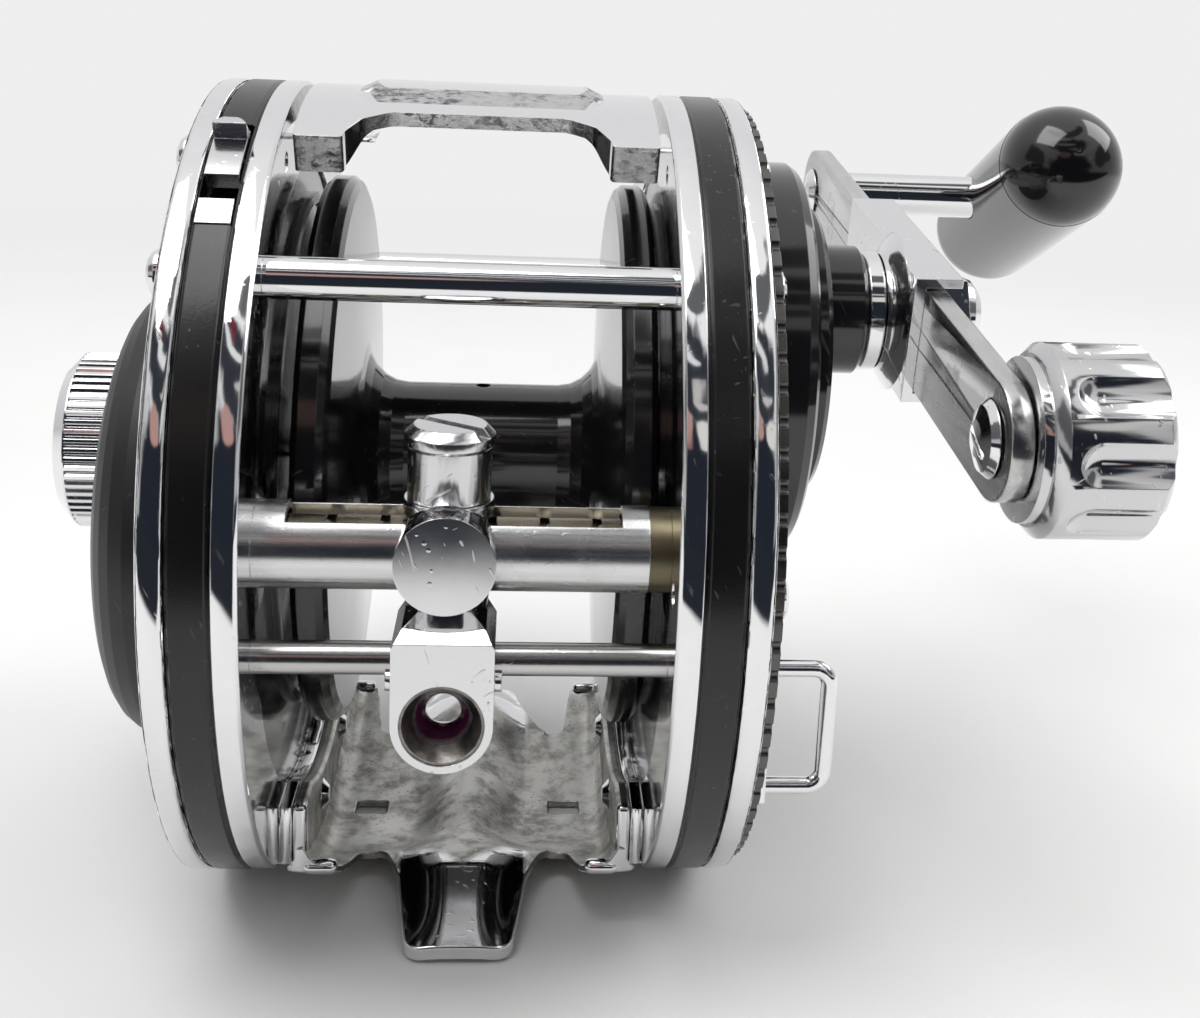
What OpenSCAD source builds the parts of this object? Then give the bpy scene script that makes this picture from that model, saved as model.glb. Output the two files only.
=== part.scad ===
// Level-wind trolling reel. Millimetres. +X points to the crank side, -Y to the level-wind front, +Z up.
// The origin is the middle of the reel foot's seat, on the underside of the foot.

/* [Frame] */
// Outer radius of the side rings and plates
ring_r = 46; // [45.5:0.5:47]
// Height of the ring centre above the foot's seat
axis_h = 46; // [46:0.5:47]
// Half of the clear width between the two inner rings
half_gap = 20.25; // [20:0.25:21]
// Thickness of each chromed ring
ring_t = 2.7; // [2.5:0.1:3]
// Thickness of each black side plate
plate_t = 3.9; // [3.7:0.1:4.2]
// Radius of the round frame pillars
pillar_r = 2.15; // [2:0.05:2.3]
// Radius of the side plate screw heads
screw_head_r = 2.5; // [2.2:0.1:2.6]

/* [Spool] */
// Radius of the spool flanges
flange_r = 33.3; // [32.5:0.1:33.5]
// Radius of the spool arbor
arbor_r = 8; // [7.5:0.25:9]
// Radius of the spool shaft
spool_shaft_r = 1.8; // [1.6:0.1:2]

/* [Level wind] */
// Outer radius of the slotted guard tube
tube_r = 4.35; // [4.25:0.05:4.5]
// Radius of the worm inside the guard tube
worm_r = 3; // [2.8:0.1:3.1]
// Radius of the guide rod
guide_r = 1.65; // [1.55:0.05:1.9]
// Half width of the line carriage
carriage_half = 4.95; // [4.8:0.05:5.1]
// Diameter of the hole in the line ring
line_hole_d = 3.5; // [3:0.1:4]

/* [Handle] */
// Distance from crank axis to grip shaft
grip_reach = 51; // [49:0.5:53]
// Distance from crank axis to counterweight rivet
weight_reach = 35.8; // [34:0.2:38]
// Slope of the handle arm above the horizontal
arm_tilt = 9.5; // [0:0.5:20]
// Thickness of the handle arm
arm_t = 2.45; // [2.4:0.05:2.8]
// Radius of the fluted counterweight
weight_r = 9.9; // [9:0.1:10.2]
// Radius of the T grip
grip_r = 8.75; // [8:0.05:9]
// Tilt of the T grip on its shaft
grip_tilt = -21.7; // [-45:0.1:45]

/* [Foot] */
// Half of the foot's length
foot_half = 31.5; // [30:0.5:33]
// Half of the tongue's width at its root
tongue_half = 7.4; // [7:0.1:7.6]
// Half of the tongue's width at its tip
tip_half = 5.7; // [5.5:0.1:6.2]

/* [Hidden] */
$fn = 96;
eps = 0.01;

// Faces of the rings and plates, counted outward from the middle of the reel.
x_ring = half_gap;
x_plate = half_gap + ring_t;
x_outer = x_plate + plate_t;
x_face = x_outer + ring_t;

// Places in the YZ plane.
ring_c = [0, axis_h];
spool_c = [5, axis_h + 1.3];
worm_c = [-35, axis_h + 3];
guide_c = [-38.6, axis_h - 7.3];
dome_c = [-6, axis_h - 3.4];
cover_c = [1.5, axis_h + 15];
step_c = [1, axis_h + 16];
clutch_c = [-24, axis_h - 15.5];
dog_c = [14.5, axis_h + 28];
rod_ring_r = 41;
rear_ring_r = 42.5;
front_pillar_a = 44;
rear_pillar_a = [155, 208];
// Plate screws as radius and angle; the last two sit elsewhere on each side.
function screw_places(s) = concat([[41, 44], [41.3, 68], [41.3, 112], [41.3, 155], [41.3, 208]],
    s > 0 ? [[41.3, 290], [41.3, 1]] : [[41.3, 245], [41.3, 300]]);
screw_r = 1.2;

// Gears: module and teeth. The crank axis lies where main gear and pinion mesh.
gear_m = 0.7;
main_z = 42;
pinion_z = 16;
crank_dist = gear_m * (main_z + pinion_z) / 2;
crank_dy = -4.5;
crank_c = [spool_c[0] + crank_dy, spool_c[1] + sqrt(crank_dist * crank_dist - crank_dy * crank_dy)];
mesh_a = atan2(spool_c[1] - crank_c[1], spool_c[0] - crank_c[0]);
wind_m = 0.6;
click_z = 16;
idler_z = 47;
wormgear_z = 24;
click_idler = wind_m * (click_z + idler_z) / 2;
idler_worm = wind_m * (idler_z + wormgear_z) / 2;
wind_span = norm(worm_c - spool_c);
wind_a = atan2(worm_c[1] - spool_c[1], worm_c[0] - spool_c[0]);
idler_bend = acos((pow(click_idler, 2) + pow(wind_span, 2) - pow(idler_worm, 2)) / (2 * click_idler *
        wind_span));
click_a = wind_a + idler_bend;
idler_c = [spool_c[0] + click_idler * cos(click_a), spool_c[1] + click_idler * sin(click_a)];
idler_a = atan2(worm_c[1] - idler_c[1], worm_c[0] - idler_c[0]);
idler_phase = click_a + 180 + 180 / idler_z;
wormgear_phase = idler_a + 180 - (idler_phase - idler_a) * idler_z / wormgear_z + 180 / wormgear_z;

// Stack along the crank axis.
cover_x = x_face + 0.95;
big_x = 37.5;
step_x = 39.8;
boss_x = 45.6;
bracket_x = 49.6;
arm_x = 50.9;
arm_out_x = arm_x + arm_t;
arm_skew = 1.9;
sleeve_r = 4.9;
stud_r = 3.4;
grip_c = [crank_c[0] + grip_reach * cos(arm_tilt), crank_c[1] + grip_reach * sin(arm_tilt)];
weight_c = [crank_c[0] - weight_reach * cos(arm_tilt), crank_c[1] - weight_reach * sin(arm_tilt)];
grip_x = 82.3;
grip_half = 18.4;
grip_yaw = 2.5;
carriage_x = -1.65;
run = 0.05;

// A point on a circle about the ring centre; the angle starts at the front and climbs over the top.
function on_ring(r, a) = [-r * cos(a), axis_h + r * sin(a)];
function inv(a) = tan(a) * 180 / PI - a;
function lerp(a, b, t) = a + (b - a) * t;

// Carries a flat shape drawn in Y and Z out along X, from x0 to x1.
module slab(x0, x1) {
    translate([x0, 0, 0]) rotate([90, 0, 90]) linear_extrude(x1 - x0) children();
}
// A cylinder along X about a point of the YZ plane.
module xcyl(c, r, x0, x1, fn = 96) {
    slab(x0, x1) translate(c) circle(r, $fn = fn);
}
// Turns a list of [radius, x] points about an axis along X.
module lathe(c, pts) {
    translate([0, c[0], c[1]]) rotate([90, 0, 90]) rotate_extrude() polygon(pts);
}
module tube_x(c, r_out, r_in, x0, x1) {
    lathe(c, [[r_in, x0], [r_out, x0], [r_out, x1], [r_in, x1]]);
}
// Part of a circle about the ring centre, as a flat wedge reaching past radius r.
module wedge(r, a0, a1, steps = 8) {
    polygon([ring_c, for (i = [0:steps]) on_ring(r, lerp(a0, a1, i / steps))]);
}
// A curved block about the ring centre.
module ring_block(r0, r1, a0, a1, x0, x1) {
    slab(x0, x1) intersection() {
        difference() {
            translate(ring_c) circle(r1);
            translate(ring_c) circle(r0);
        }
        wedge(r1 * 1.6, a0, a1);
    }
}
// Half the angle that a tooth fills at radius r, for an involute of 20 degrees.
function tooth_half(m, z, r, fill) =
    let (rp = m * z / 2, rb = rp * cos(20), rr = max(r, rb))
    90 / z * fill + inv(20) - inv(acos(rb / rr));
module gear(m, z, phase, fill = 0.9) {
    rp = m * z / 2;
    radii = [rp - 1.15 * m, rp - 0.45 * m, rp, rp + 0.9 * m];
    polygon([for (i = [0:z - 1], k = [0:7])
        let (j = k < 4 ? k : 7 - k, side = k < 4 ? -1 : 1,
             a = phase + i * 360 / z + side * tooth_half(m, z, radii[j], fill))
        [radii[j] * cos(a), radii[j] * sin(a)]]);
}

/* ---- side frames ---- */
module screw_holes(s, x0, x1, r = screw_r) {
    for (p = screw_places(s)) xcyl(on_ring(p[0], p[1]), r, s > 0 ? x0 : -x1, s > 0 ? x1 : -x0, 32);
}
module chrome_ring(s, x0, x1, r_in) {
    c = 0.35;
    lathe(ring_c, [for (p = [[r_in, x0], [ring_r - c, x0], [ring_r, x0 + c], [ring_r, x1 - c],
                             [ring_r - c, x1], [r_in, x1]]) [p[0], s * p[1]]]);
}
bore_r = 36.8;
lobe_r = 7.2;
lug_in = 1.35;
// The inner ring reaches inward round the worm, and a lug stands on it for the foot's side wall.
module inner_ring(s) {
    x0 = s > 0 ? x_ring : -x_plate;
    x1 = s > 0 ? x_plate : -x_ring;
    difference() {
        union() {
            chrome_ring(s, x_ring, x_plate, bore_r);
            xcyl(worm_c, lobe_r, x0, x1);
            lug_x0 = s > 0 ? x_ring - lug_in : -x_ring;
            slab(lug_x0, lug_x0 + lug_in) intersection() {
                foot_wall(0.15);
                translate(ring_c) circle(ring_r - 0.4);
            }
            for (f = [-1, 1]) translate([lug_x0 + lug_in / 2, f * wall_end, pan_top(wall_end + 0.7) + 0.15])
                cylinder(r = lug_in / 2, h = wall_h - pan_top(wall_end + 0.7) - 0.15, $fn = 32);
        }
        xcyl(worm_c, 3.2, x0 - 1, x1 + 1);
        screw_holes(s, x_ring - 1, x_plate + 1);
        for (a = foot_rivet_a) xcyl(on_ring(foot_rivet_ring, a), foot_rivet_r, -x_plate, x_plate, 24);
    }
}
module left_inner_ring() { color("silver") inner_ring(-1); }
module right_inner_ring() { color("silver") inner_ring(1); }

bearing_r = 5;
// Black plate that fills the inner ring, with a raised lip round the spool flange.
module bearing_plate(s) {
    x0 = 20.6;
    x1 = x_plate - 0.05;
    lip_x = 19.3;
    difference() {
        union() {
            slab(s > 0 ? x0 : -x1, s > 0 ? x1 : -x0) difference() {
                translate(ring_c) circle(bore_r - 0.05);
                translate(worm_c) circle(lobe_r + 0.1);
            }
            difference() {
                tube_x(spool_c, 31.2, 30, s > 0 ? lip_x + 0.6 : -x0 - eps, s > 0 ? x0 + eps : -lip_x - 0.6);
                xcyl(worm_c, lobe_r + 0.1, -x1, x1);
            }
        }
        xcyl(spool_c, bearing_r, s * x1 - 3, s * x1 + 3);
        if (s < 0) xcyl(idler_c, 1.2, -x1 - 1, -x0 + 1, 32);
    }
}
module left_bearing_plate() { color([0.1, 0.1, 0.11]) bearing_plate(-1); }
module right_bearing_plate() { color([0.1, 0.1, 0.11]) bearing_plate(1); }

module screw_pads(s, x0, x1) {
    slab(x0, x1) intersection() {
        for (p = screw_places(s)) translate(on_ring(p[0], p[1])) circle(3, $fn = 32);
        translate(ring_c) circle(ring_r - 0.5);
    }
}
cup_r = 43.6;
cup_floor = 0.9;
slot_a0 = 47.3;
slot_a1 = 67;
slot_depth = 2.6;
// Black cup between the chromed rings. The left one has the rim slot of the click slide.
module side_plate(s) {
    floor_x = x_outer - cup_floor;
    difference() {
        union() {
            difference() {
                chrome_ring(s, x_plate, x_outer, 0.5);
                xcyl(ring_c, cup_r, s > 0 ? x_plate - 1 : -floor_x, s > 0 ? floor_x : -x_plate + 1);
            }
            screw_pads(s, s > 0 ? x_plate : -x_outer, s > 0 ? x_outer : -x_plate);
            if (s < 0) ring_block(41.8, 44.5, 45, 69, -x_outer, -x_plate);
        }
        screw_holes(s, x_plate - 1, x_outer + 1);
        xcyl(spool_c, s > 0 ? 7.6 : 2.2, -x_outer - 1, x_outer + 1);
        if (s < 0) ring_block(ring_r - slot_depth, ring_r + 1, slot_a0, slot_a1, -x_outer + 0.1, -x_plate
                - 0.1);
        if (s > 0) xcyl(crank_c, 3, x_plate, x_outer + 1);
    }
}
module left_side_plate() { color([0.13, 0.13, 0.14]) side_plate(-1); }
module right_side_plate() { color([0.13, 0.13, 0.14]) side_plate(1); }

module outer_ring(s) {
    difference() {
        chrome_ring(s, x_outer, x_face, 38.6);
        screw_holes(s, x_outer - 1, x_face + 1);
    }
}
module left_outer_ring() { color("silver") outer_ring(-1); }
module right_outer_ring() { color("silver") outer_ring(1); }

// Domed cover outside the left plate, with a flat boss for the tension knob.
dome_r = 26.3;
dome_x = -39.3;
dome_wall = 1.4;
// Height of the cover at radius r: a flat top that rounds over into an upright wall.
function dome_at(r, rim, top) = top + (-x_outer - top) * (1 - pow(max(0, 1 - pow(r / rim, 7)), 0.25));
module dome(rim, top) {
    steps = 16;
    lathe(dome_c, [[0, -x_outer], [0, top],
        for (i = [1:steps]) let (r = rim * sin(90 * i / steps)) [r, dome_at(r, rim, top)]]);
}
knob_x = -40.1;
module left_cover() {
    color([0.07, 0.07, 0.08]) difference() {
        union() {
            dome(dome_r, dome_x);
            xcyl(spool_c, 10, knob_x, -30);
        }
        difference() {
            dome(dome_r - dome_wall, dome_x + dome_wall);
            xcyl(spool_c, 5.5, knob_x, -34);
        }
        xcyl(spool_c, 3.05, knob_x - 2, -26);
    }
}
module left_plate_screws() { color("silver") plate_screws(-1); }
module right_plate_screws() { color("silver") plate_screws(1); }
module plate_screws(s) {
    head_h = 1.9;
    for (p = screw_places(s)) difference() {
        union() {
            xcyl(on_ring(p[0], p[1]), screw_r,
                s > 0 ? x_ring + 0.2 : -x_face - 0.3, s > 0 ? x_face + 0.3 : -x_ring - 0.2, 32);
            lathe(on_ring(p[0], p[1]), [
                for (q = [[0, 0], [screw_head_r, 0], [screw_head_r, 0.9],
                    [screw_head_r - 0.3, 1.4], [screw_head_r - 0.9, 1.75], [0, head_h]])
                [q[0], s * (x_face + q[1])]]);
        }
        translate([s * (x_face + head_h), on_ring(p[0], p[1])[0], on_ring(p[0], p[1])[1]])
            rotate([p[1] + 25, 0, 0]) cube([1.6, 7, 0.7], center = true);
    }
}

/* ---- right side covers ---- */
module milled_plate() {
    notches = 90;
    color([0.16, 0.15, 0.15]) difference() {
        xcyl(ring_c, 44.8, x_face, cover_x);
        for (p = screw_places(1)) xcyl(on_ring(p[0], p[1]), screw_head_r + 0.25, x_face - 1, cover_x + 1,
                32);
        xcyl(cover_c, 22.3, x_face - 1, cover_x + 1);
        for (i = [0:notches - 1]) xcyl(on_ring(45.15, i * 360 / notches), 0.75, x_face - 1, cover_x + 1,
                13);
    }
}
cover_r = 23.5;
cover_wall = 1.2;
step_r = 17.5;
boss_r = 7.8;
module gear_cover() {
    c = 1.4;
    color([0.05, 0.05, 0.06]) difference() {
        union() {
            lathe(cover_c, [[0, cover_x], [cover_r, cover_x], [cover_r, big_x - c], [cover_r - 0.45 * c,
                    big_x - 0.3 * c],
                            [cover_r - c, big_x], [0, big_x]]);
            lathe(step_c, [[0, big_x - 1], [step_r, big_x - 1], [step_r, step_x - 0.6], [step_r - 0.6,
                    step_x], [0, step_x]]);
            lathe(crank_c, [[0, step_x - 1], [boss_r + 1, step_x - 1], [boss_r + 1, step_x], [boss_r,
                    step_x + 1],
                            [boss_r, boss_x - 0.5], [boss_r - 0.5, boss_x], [0, boss_x]]);
        }
        xcyl(cover_c, cover_r - cover_wall, cover_x - 1, big_x - cover_wall);
        xcyl(step_c, step_r - cover_wall, cover_x, step_x - cover_wall);
        xcyl(crank_c, sleeve_r + run, cover_x, boss_x + 1);
    }
}
// Steel plate that carries the crank post, the yoke posts and the dog.
plate_x0 = x_outer + 0.05;
plate_x1 = 28.4;
module gear_plate() {
    color([0.62, 0.62, 0.6]) difference() {
        xcyl(ring_c, 38.4, plate_x0, plate_x1);
        xcyl(spool_c, 7.4, plate_x0 - 1, plate_x1 + 1);
        xcyl(crank_c, 2.5, plate_x0 - 1, plate_x1 + 1, 48);
        for (c = yoke_post_c) xcyl(c, yoke_post_r, plate_x0 - 1, plate_x1 + 1, 32);
        xcyl(dog_c, 1.2, plate_x0 - 1, plate_x1 + 1, 32);
    }
}
module crank_post() {
    color([0.7, 0.7, 0.68]) union() {
        xcyl(crank_c, 2.5, plate_x0, 44, 48);
        xcyl(crank_c, 2.95, x_plate + 0.5, plate_x0, 48);
    }
}
yoke_post_r = 1.2;
yoke_post_c = [[spool_c[0] - 9.2, spool_c[1] - 0.5], [spool_c[0] + 9.2, spool_c[1] - 0.5]];
module yoke_posts() {
    color([0.7, 0.7, 0.68]) for (c = yoke_post_c) xcyl(c, yoke_post_r, plate_x0, 36, 32);
}

/* ---- bridge, pillars, foot ---- */
module top_bridge() {
    foot_x = 14;
    a0 = 65;
    pad_x = 13.6;
    color("silver") union() {
        difference() {
            ring_block(44.3, ring_r - 0.15, a0, 180 - a0, -x_ring, x_ring);
            for (f = [0, 1]) mirror([0, f, 0]) bridge_window(foot_x);
        }
        for (s = [-1, 1])
            ring_block(41.6, 44.5, a0, 180 - a0, s > 0 ? foot_x : -x_ring, s > 0 ? x_ring : -foot_x);
        thumb_pad(pad_x);
    }
}
// The opening in front of the bridge's bar, with its corners cut across.
module bridge_window(foot_x) {
    bar_x = 9.8;
    translate([0, 0, axis_h]) rotate([20, 0, 0]) translate([0, 0, 40]) linear_extrude(8) polygon([
        [-foot_x, -12], [foot_x, -12], [foot_x, -2.9], [12, 0.4], [bar_x, 2.4],
        [-bar_x, 2.4], [-12, 0.4], [-foot_x, -2.9]]);
}
// Raised thumb rest with sloping ends, cast on the bridge.
module thumb_pad(half) {
    rise = 0.75;
    intersection() {
        ring_block(45, ring_r + 1, 77, 103, -half, half);
        lathe(ring_c, [[44, -half], [ring_r - 0.2, -half], [ring_r + rise, -half + 1.8], [ring_r + rise,
                half - 1.8],
                       [ring_r - 0.2, half], [44, half]]);
    }
}
module front_pillar() {
    color("silver") difference() {
        xcyl(on_ring(rod_ring_r, front_pillar_a), pillar_r, -x_ring, x_ring);
        xcyl(on_ring(rod_ring_r, front_pillar_a), 0.5, -x_ring - 1, -x_ring + 4, 24);
        xcyl(on_ring(rod_ring_r, front_pillar_a), 0.5, x_ring - 4, x_ring + 1, 24);
    }
}
module rear_pillars() {
    color("silver") for (a = rear_pillar_a) xcyl(on_ring(rear_ring_r, a), pillar_r, -x_ring, x_ring);
}

// The foot's pan is a sheet bent about a line along X; its underside touches the seat's plane.
pan_r = 50;
pan_t = 0.9;
pan_c = [0, pan_r + pan_t];
pan_half = 19.9;
function pan_top(y) = pan_c[1] - sqrt(pan_r * pan_r - y * y);
wall_x0 = 17.3;
wall_x1 = 18.9;
wall_end = 22.6;
wall_h = axis_h - 32.4;
foot_rivet_a = [-103, -77];
foot_rivet_ring = 39.6;
foot_rivet_r = 1;
crown_h = 5;
crown_r = 15;
// Side wall of the foot in Y and Z, standing clear of the pan by the gap.
module foot_wall(gap) {
    difference() {
        intersection() {
            translate(pan_c) circle(pan_r - gap, $fn = 192);
            translate([-wall_end, 0]) square([2 * wall_end, wall_h]);
        }
        translate(ring_c) circle(36.6);
    }
}
// A quarter of the foot's pan seen from above, from the side round the ear and the notch to the tongue.
function pan_quarter(sx, sy) =
    let (ear_y = 23.4, bend = 3)
    concat(
        [for (i = [0:4])
            [sx * (pan_half - bend + bend * cos(i * 22.5)), sy * (ear_y - bend + bend * sin(i * 22.5))]],
        [for (p = [[14.3, 23.4], [13.2, 22.6], [12.6, 19.4], [12.1, 16.4], [11.4, 15.1],
            [10.6, 15], [9.6, 15.6], [8.4, 16.8], [7.2, 18.4]]) [sx * p[0], sy * p[1]]]);
function turned(v) = [for (i = [len(v) - 1:-1:0]) v[i]];
module pan_outline() {
    polygon(concat(pan_quarter(1, 1), turned(pan_quarter(-1, 1)), pan_quarter(-1, -1),
            turned(pan_quarter(1, -1))));
}
module tongue_outline() {
    root_y = 13;
    c = 2.2;
    polygon([for (q = [0:3])
        let (sx = q == 0 || q == 3 ? 1 : -1, sy = q < 2 ? 1 : -1)
        for (i = [0:6])
        let (k = (q == 0 || q == 2) ? i : 6 - i, a = 18 * (k - 1))
        k == 0 ? [sx * tongue_half, sy * root_y]
               : [sx * (tip_half - c + c * cos(a)), sy * (foot_half - c + c * sin(a))]]);
}
// Crowned tongue whose two ends thin out and lift a little for the seat's hoods.
module foot_tongue() {
    slope_y = 20;
    tip_top = 2.7;
    tip_low = 1.05;
    intersection() {
        translate([0, -foot_half, crown_h - crown_r]) rotate([-90, 0, 0]) cylinder(r = crown_r, h = 2 *
                foot_half);
        linear_extrude(crown_h + 1) tongue_outline();
        rotate([90, 0, 90]) translate([0, 0, -10]) linear_extrude(20) polygon([
            [-foot_half - 1, tip_low], [-foot_half - 1, tip_top - 0.3], [-slope_y, crown_h + eps],
            [slope_y, crown_h + eps], [foot_half + 1, tip_top - 0.3], [foot_half + 1, tip_low],
            [slope_y - 4, 0], [4 - slope_y, 0]]);
    }
}
// Hollows under the tongue; the web between them carries the seat's middle.
module foot_hollows() {
    web = 4;
    for (f = [-1, 1]) intersection() {
        translate([0, f > 0 ? web : -18, crown_h - crown_r]) rotate([-90, 0, 0]) cylinder(r = crown_r -
                1.7, h = 18 - web);
        translate([-5.9, -20, -2]) cube([11.8, 40, 8]);
    }
    arch_r = 28;
    translate([0, -foot_half - 1, 1.45 - arch_r]) rotate([-90, 0, 0]) cylinder(r = arch_r, h = foot_half
            - 17);
    translate([0, 18, 1.45 - arch_r]) rotate([-90, 0, 0]) cylinder(r = arch_r, h = foot_half - 17);
}
module foot_pan() {
    intersection() {
        slab(-pan_half, pan_half) difference() {
            translate(pan_c) circle(pan_r + pan_t, $fn = 192);
            translate(pan_c) circle(pan_r, $fn = 192);
            translate([-60, 20]) square(120);
        }
        linear_extrude(20) pan_outline();
    }
}
module reel_foot() {
    slot_x = 12.2;
    roll_y = 22.9;
    color("silver") difference() {
        union() {
            foot_pan();
            foot_tongue();
            for (s = [-1, 1]) slab(s > 0 ? wall_x0 : -wall_x1, s > 0 ? wall_x1 : -wall_x0) foot_wall(-0.3);
            for (s = [-1, 1], f = [-1, 1]) {
                translate([s * (wall_x0 + wall_x1) / 2, f * wall_end, pan_top(wall_end) - 0.3])
                    cylinder(r = (wall_x1 - wall_x0) / 2, h = wall_h - pan_top(wall_end) + 0.3, $fn = 32);
                xcyl([f * roll_y, pan_top(roll_y) - 0.35], 0.85, s > 0 ? 14 : -17.4, s > 0 ? 17.4 : -14,
                        32);
            }
        }
        foot_hollows();
        for (s = [-1, 1]) translate([s * slot_x, -0.6, 1]) cube([3.9, 3, 8], center = true);
        for (a = foot_rivet_a) xcyl(on_ring(foot_rivet_ring, a), foot_rivet_r, -x_ring, x_ring, 24);
    }
}
module foot_rivets() {
    color("silver") for (a = foot_rivet_a, s = [-1, 1]) union() {
        xcyl(on_ring(foot_rivet_ring, a), foot_rivet_r, s > 0 ? wall_x0 - 0.1 : -x_plate, s > 0 ? x_plate
                : -wall_x0 + 0.1, 24);
        lathe(on_ring(foot_rivet_ring, a), [[0, s * (wall_x0 - 0.9)], [1, s * (wall_x0 - 0.8)], [1.9, s *
                wall_x0], [0, s * wall_x0]]);
    }
}

/* ---- spool ---- */
spool_x = 0.6;
module spool() {
    f = 5;
    half = 19;
    side = concat(
        [[arbor_r, 9.2]],
        [for (i = [1:5]) [arbor_r + f * (1 - cos(18 * i)), 9.2 + f * sin(18 * i)]],
        [[flange_r - 1.6, 15.2], [flange_r - 0.6, 15.6], [flange_r, 16.4], [flange_r, half - 0.7],
         [flange_r - 0.7, half], [flange_r - 3.2, half], [flange_r - 3.6, half - 1.4], [9, half - 2.6],
                 [8, half - 2.4], [5.5, half - 0.4]]);
    color([0.06, 0.06, 0.07]) difference() {
        lathe(spool_c, concat(
            [[spool_shaft_r, spool_x + half - 0.4]],
            [for (i = [len(side) - 1:-1:0]) [side[i][0], spool_x + side[i][1]]],
            [for (p = side) [p[0], spool_x - p[1]]],
            [[spool_shaft_r, spool_x - half + 0.4]]));
        translate([spool_x, spool_c[0], spool_c[1]]) cylinder(r = 0.9, h = 20, $fn = 24);
    }
}
shaft_left = -39.2;
module spool_shaft() {
    color([0.72, 0.72, 0.72]) union() {
        xcyl(spool_c, spool_shaft_r, shaft_left, 34, 48);
        translate([27.7, spool_c[0], spool_c[1]]) cube([1, 7.4, 1.1], center = true);
    }
}
module spool_bearing(x0, x1) {
    difference() {
        tube_x(spool_c, bearing_r, 1.85, x0, x1);
        tube_x(spool_c, 3.9, 3, x0 - 1, x0 + 0.4);
        tube_x(spool_c, 3.9, 3, x1 - 0.4, x1 + 1);
    }
}
module left_spool_bearing() { color([0.75, 0.75, 0.75]) spool_bearing(-22.8, -20.7); }
module right_spool_bearing() { color([0.75, 0.75, 0.75]) spool_bearing(20.7, 22.8); }
module tension_knob() {
    r = 10.65;
    flutes = 60;
    len = 9;
    color("silver") difference() {
        union() {
            lathe(spool_c, [[0, knob_x - len], [r - 1.6, knob_x - len], [r, knob_x - len + 1.5], [r,
                    knob_x - 0.4],
                            [r - 0.4, knob_x - 0.05], [0, knob_x - 0.05]]);
            xcyl(spool_c, 3, knob_x - 1, -36.5, 48);
        }
        for (i = [0:flutes - 1]) translate([knob_x - len + 1.7, spool_c[0], spool_c[1]]) rotate([i * 360
                / flutes, 0, 0])
            translate([0, 0, r]) rotate([45, 0, 0]) translate([0, -0.25, -0.25]) cube([6.7, 0.5, 0.5]);
        xcyl(spool_c, spool_shaft_r + run, -39.6, -35, 48);
    }
}

/* ---- level wind ---- */
module guard_tube() {
    slot_w = 5.8;
    color([0.78, 0.78, 0.77]) difference() {
        tube_x(worm_c, tube_r, tube_r - 0.8, -x_ring, 18.1);
        translate([-17.2, worm_c[0] - slot_w / 2, worm_c[1]]) cube([32.6, slot_w, 6]);
    }
}
module left_worm_bush() {
    color([0.72, 0.6, 0.35]) union() {
        tube_x(worm_c, 3.15, 1.55, -x_plate, -x_ring + eps);
        tube_x(worm_c, tube_r - 0.85, 1.55, -x_ring, -x_ring + 1.6);
    }
}
module right_worm_bush() {
    color([0.72, 0.6, 0.35]) union() {
        tube_x(worm_c, 3.15, 1.55, x_ring - eps, x_plate);
        tube_x(worm_c, tube_r - 0.1, 1.55, 18.1, x_ring);
    }
}
module guide_rod() { color([0.8, 0.8, 0.8]) xcyl(guide_c, guide_r, -x_ring, x_ring, 48); }
// Crossed grooves of the worm, cut as rings tipped one way and the other.
module worm_shaft() {
    pitch = 5.2;
    tip = 24;
    x0 = -18.3;
    x1 = 17.9;
    color([0.7, 0.7, 0.7]) difference() {
        union() {
            xcyl(worm_c, worm_r, x0, x1, 48);
            xcyl(worm_c, 1.5, -25.7, 22.6, 48);
        }
        for (k = [-3:3], s = [-1, 1]) translate([(k + s * 0.25) * pitch, worm_c[0], worm_c[1]])
                rotate([0, 90 + s * tip, 0])
            rotate_extrude($fn = 48) translate([worm_r - 0.45, -0.4]) square([1.4, 0.8]);
    }
}
wind_x0 = -25.5;
wind_x1 = -23.5;
module worm_gear() {
    color([0.75, 0.6, 0.3]) slab(wind_x0, wind_x1) translate(worm_c) difference() {
        gear(wind_m, wormgear_z, wormgear_phase);
        circle(1.5, $fn = 48);
    }
}
module idler_gear() {
    color([0.85, 0.84, 0.8]) slab(wind_x0, wind_x1) translate(idler_c) difference() {
        gear(wind_m, idler_z, idler_phase);
        circle(1.2 + run, $fn = 48);
    }
}
module click_gear() {
    color([0.75, 0.6, 0.3]) slab(wind_x0, wind_x1) translate(spool_c) difference() {
        gear(wind_m, click_z, click_a);
        circle(spool_shaft_r, $fn = 48);
    }
}
module idler_stud() { color([0.7, 0.7, 0.7]) xcyl(idler_c, 1.2, wind_x0 - 0.1, -20.7, 48); }

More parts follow.
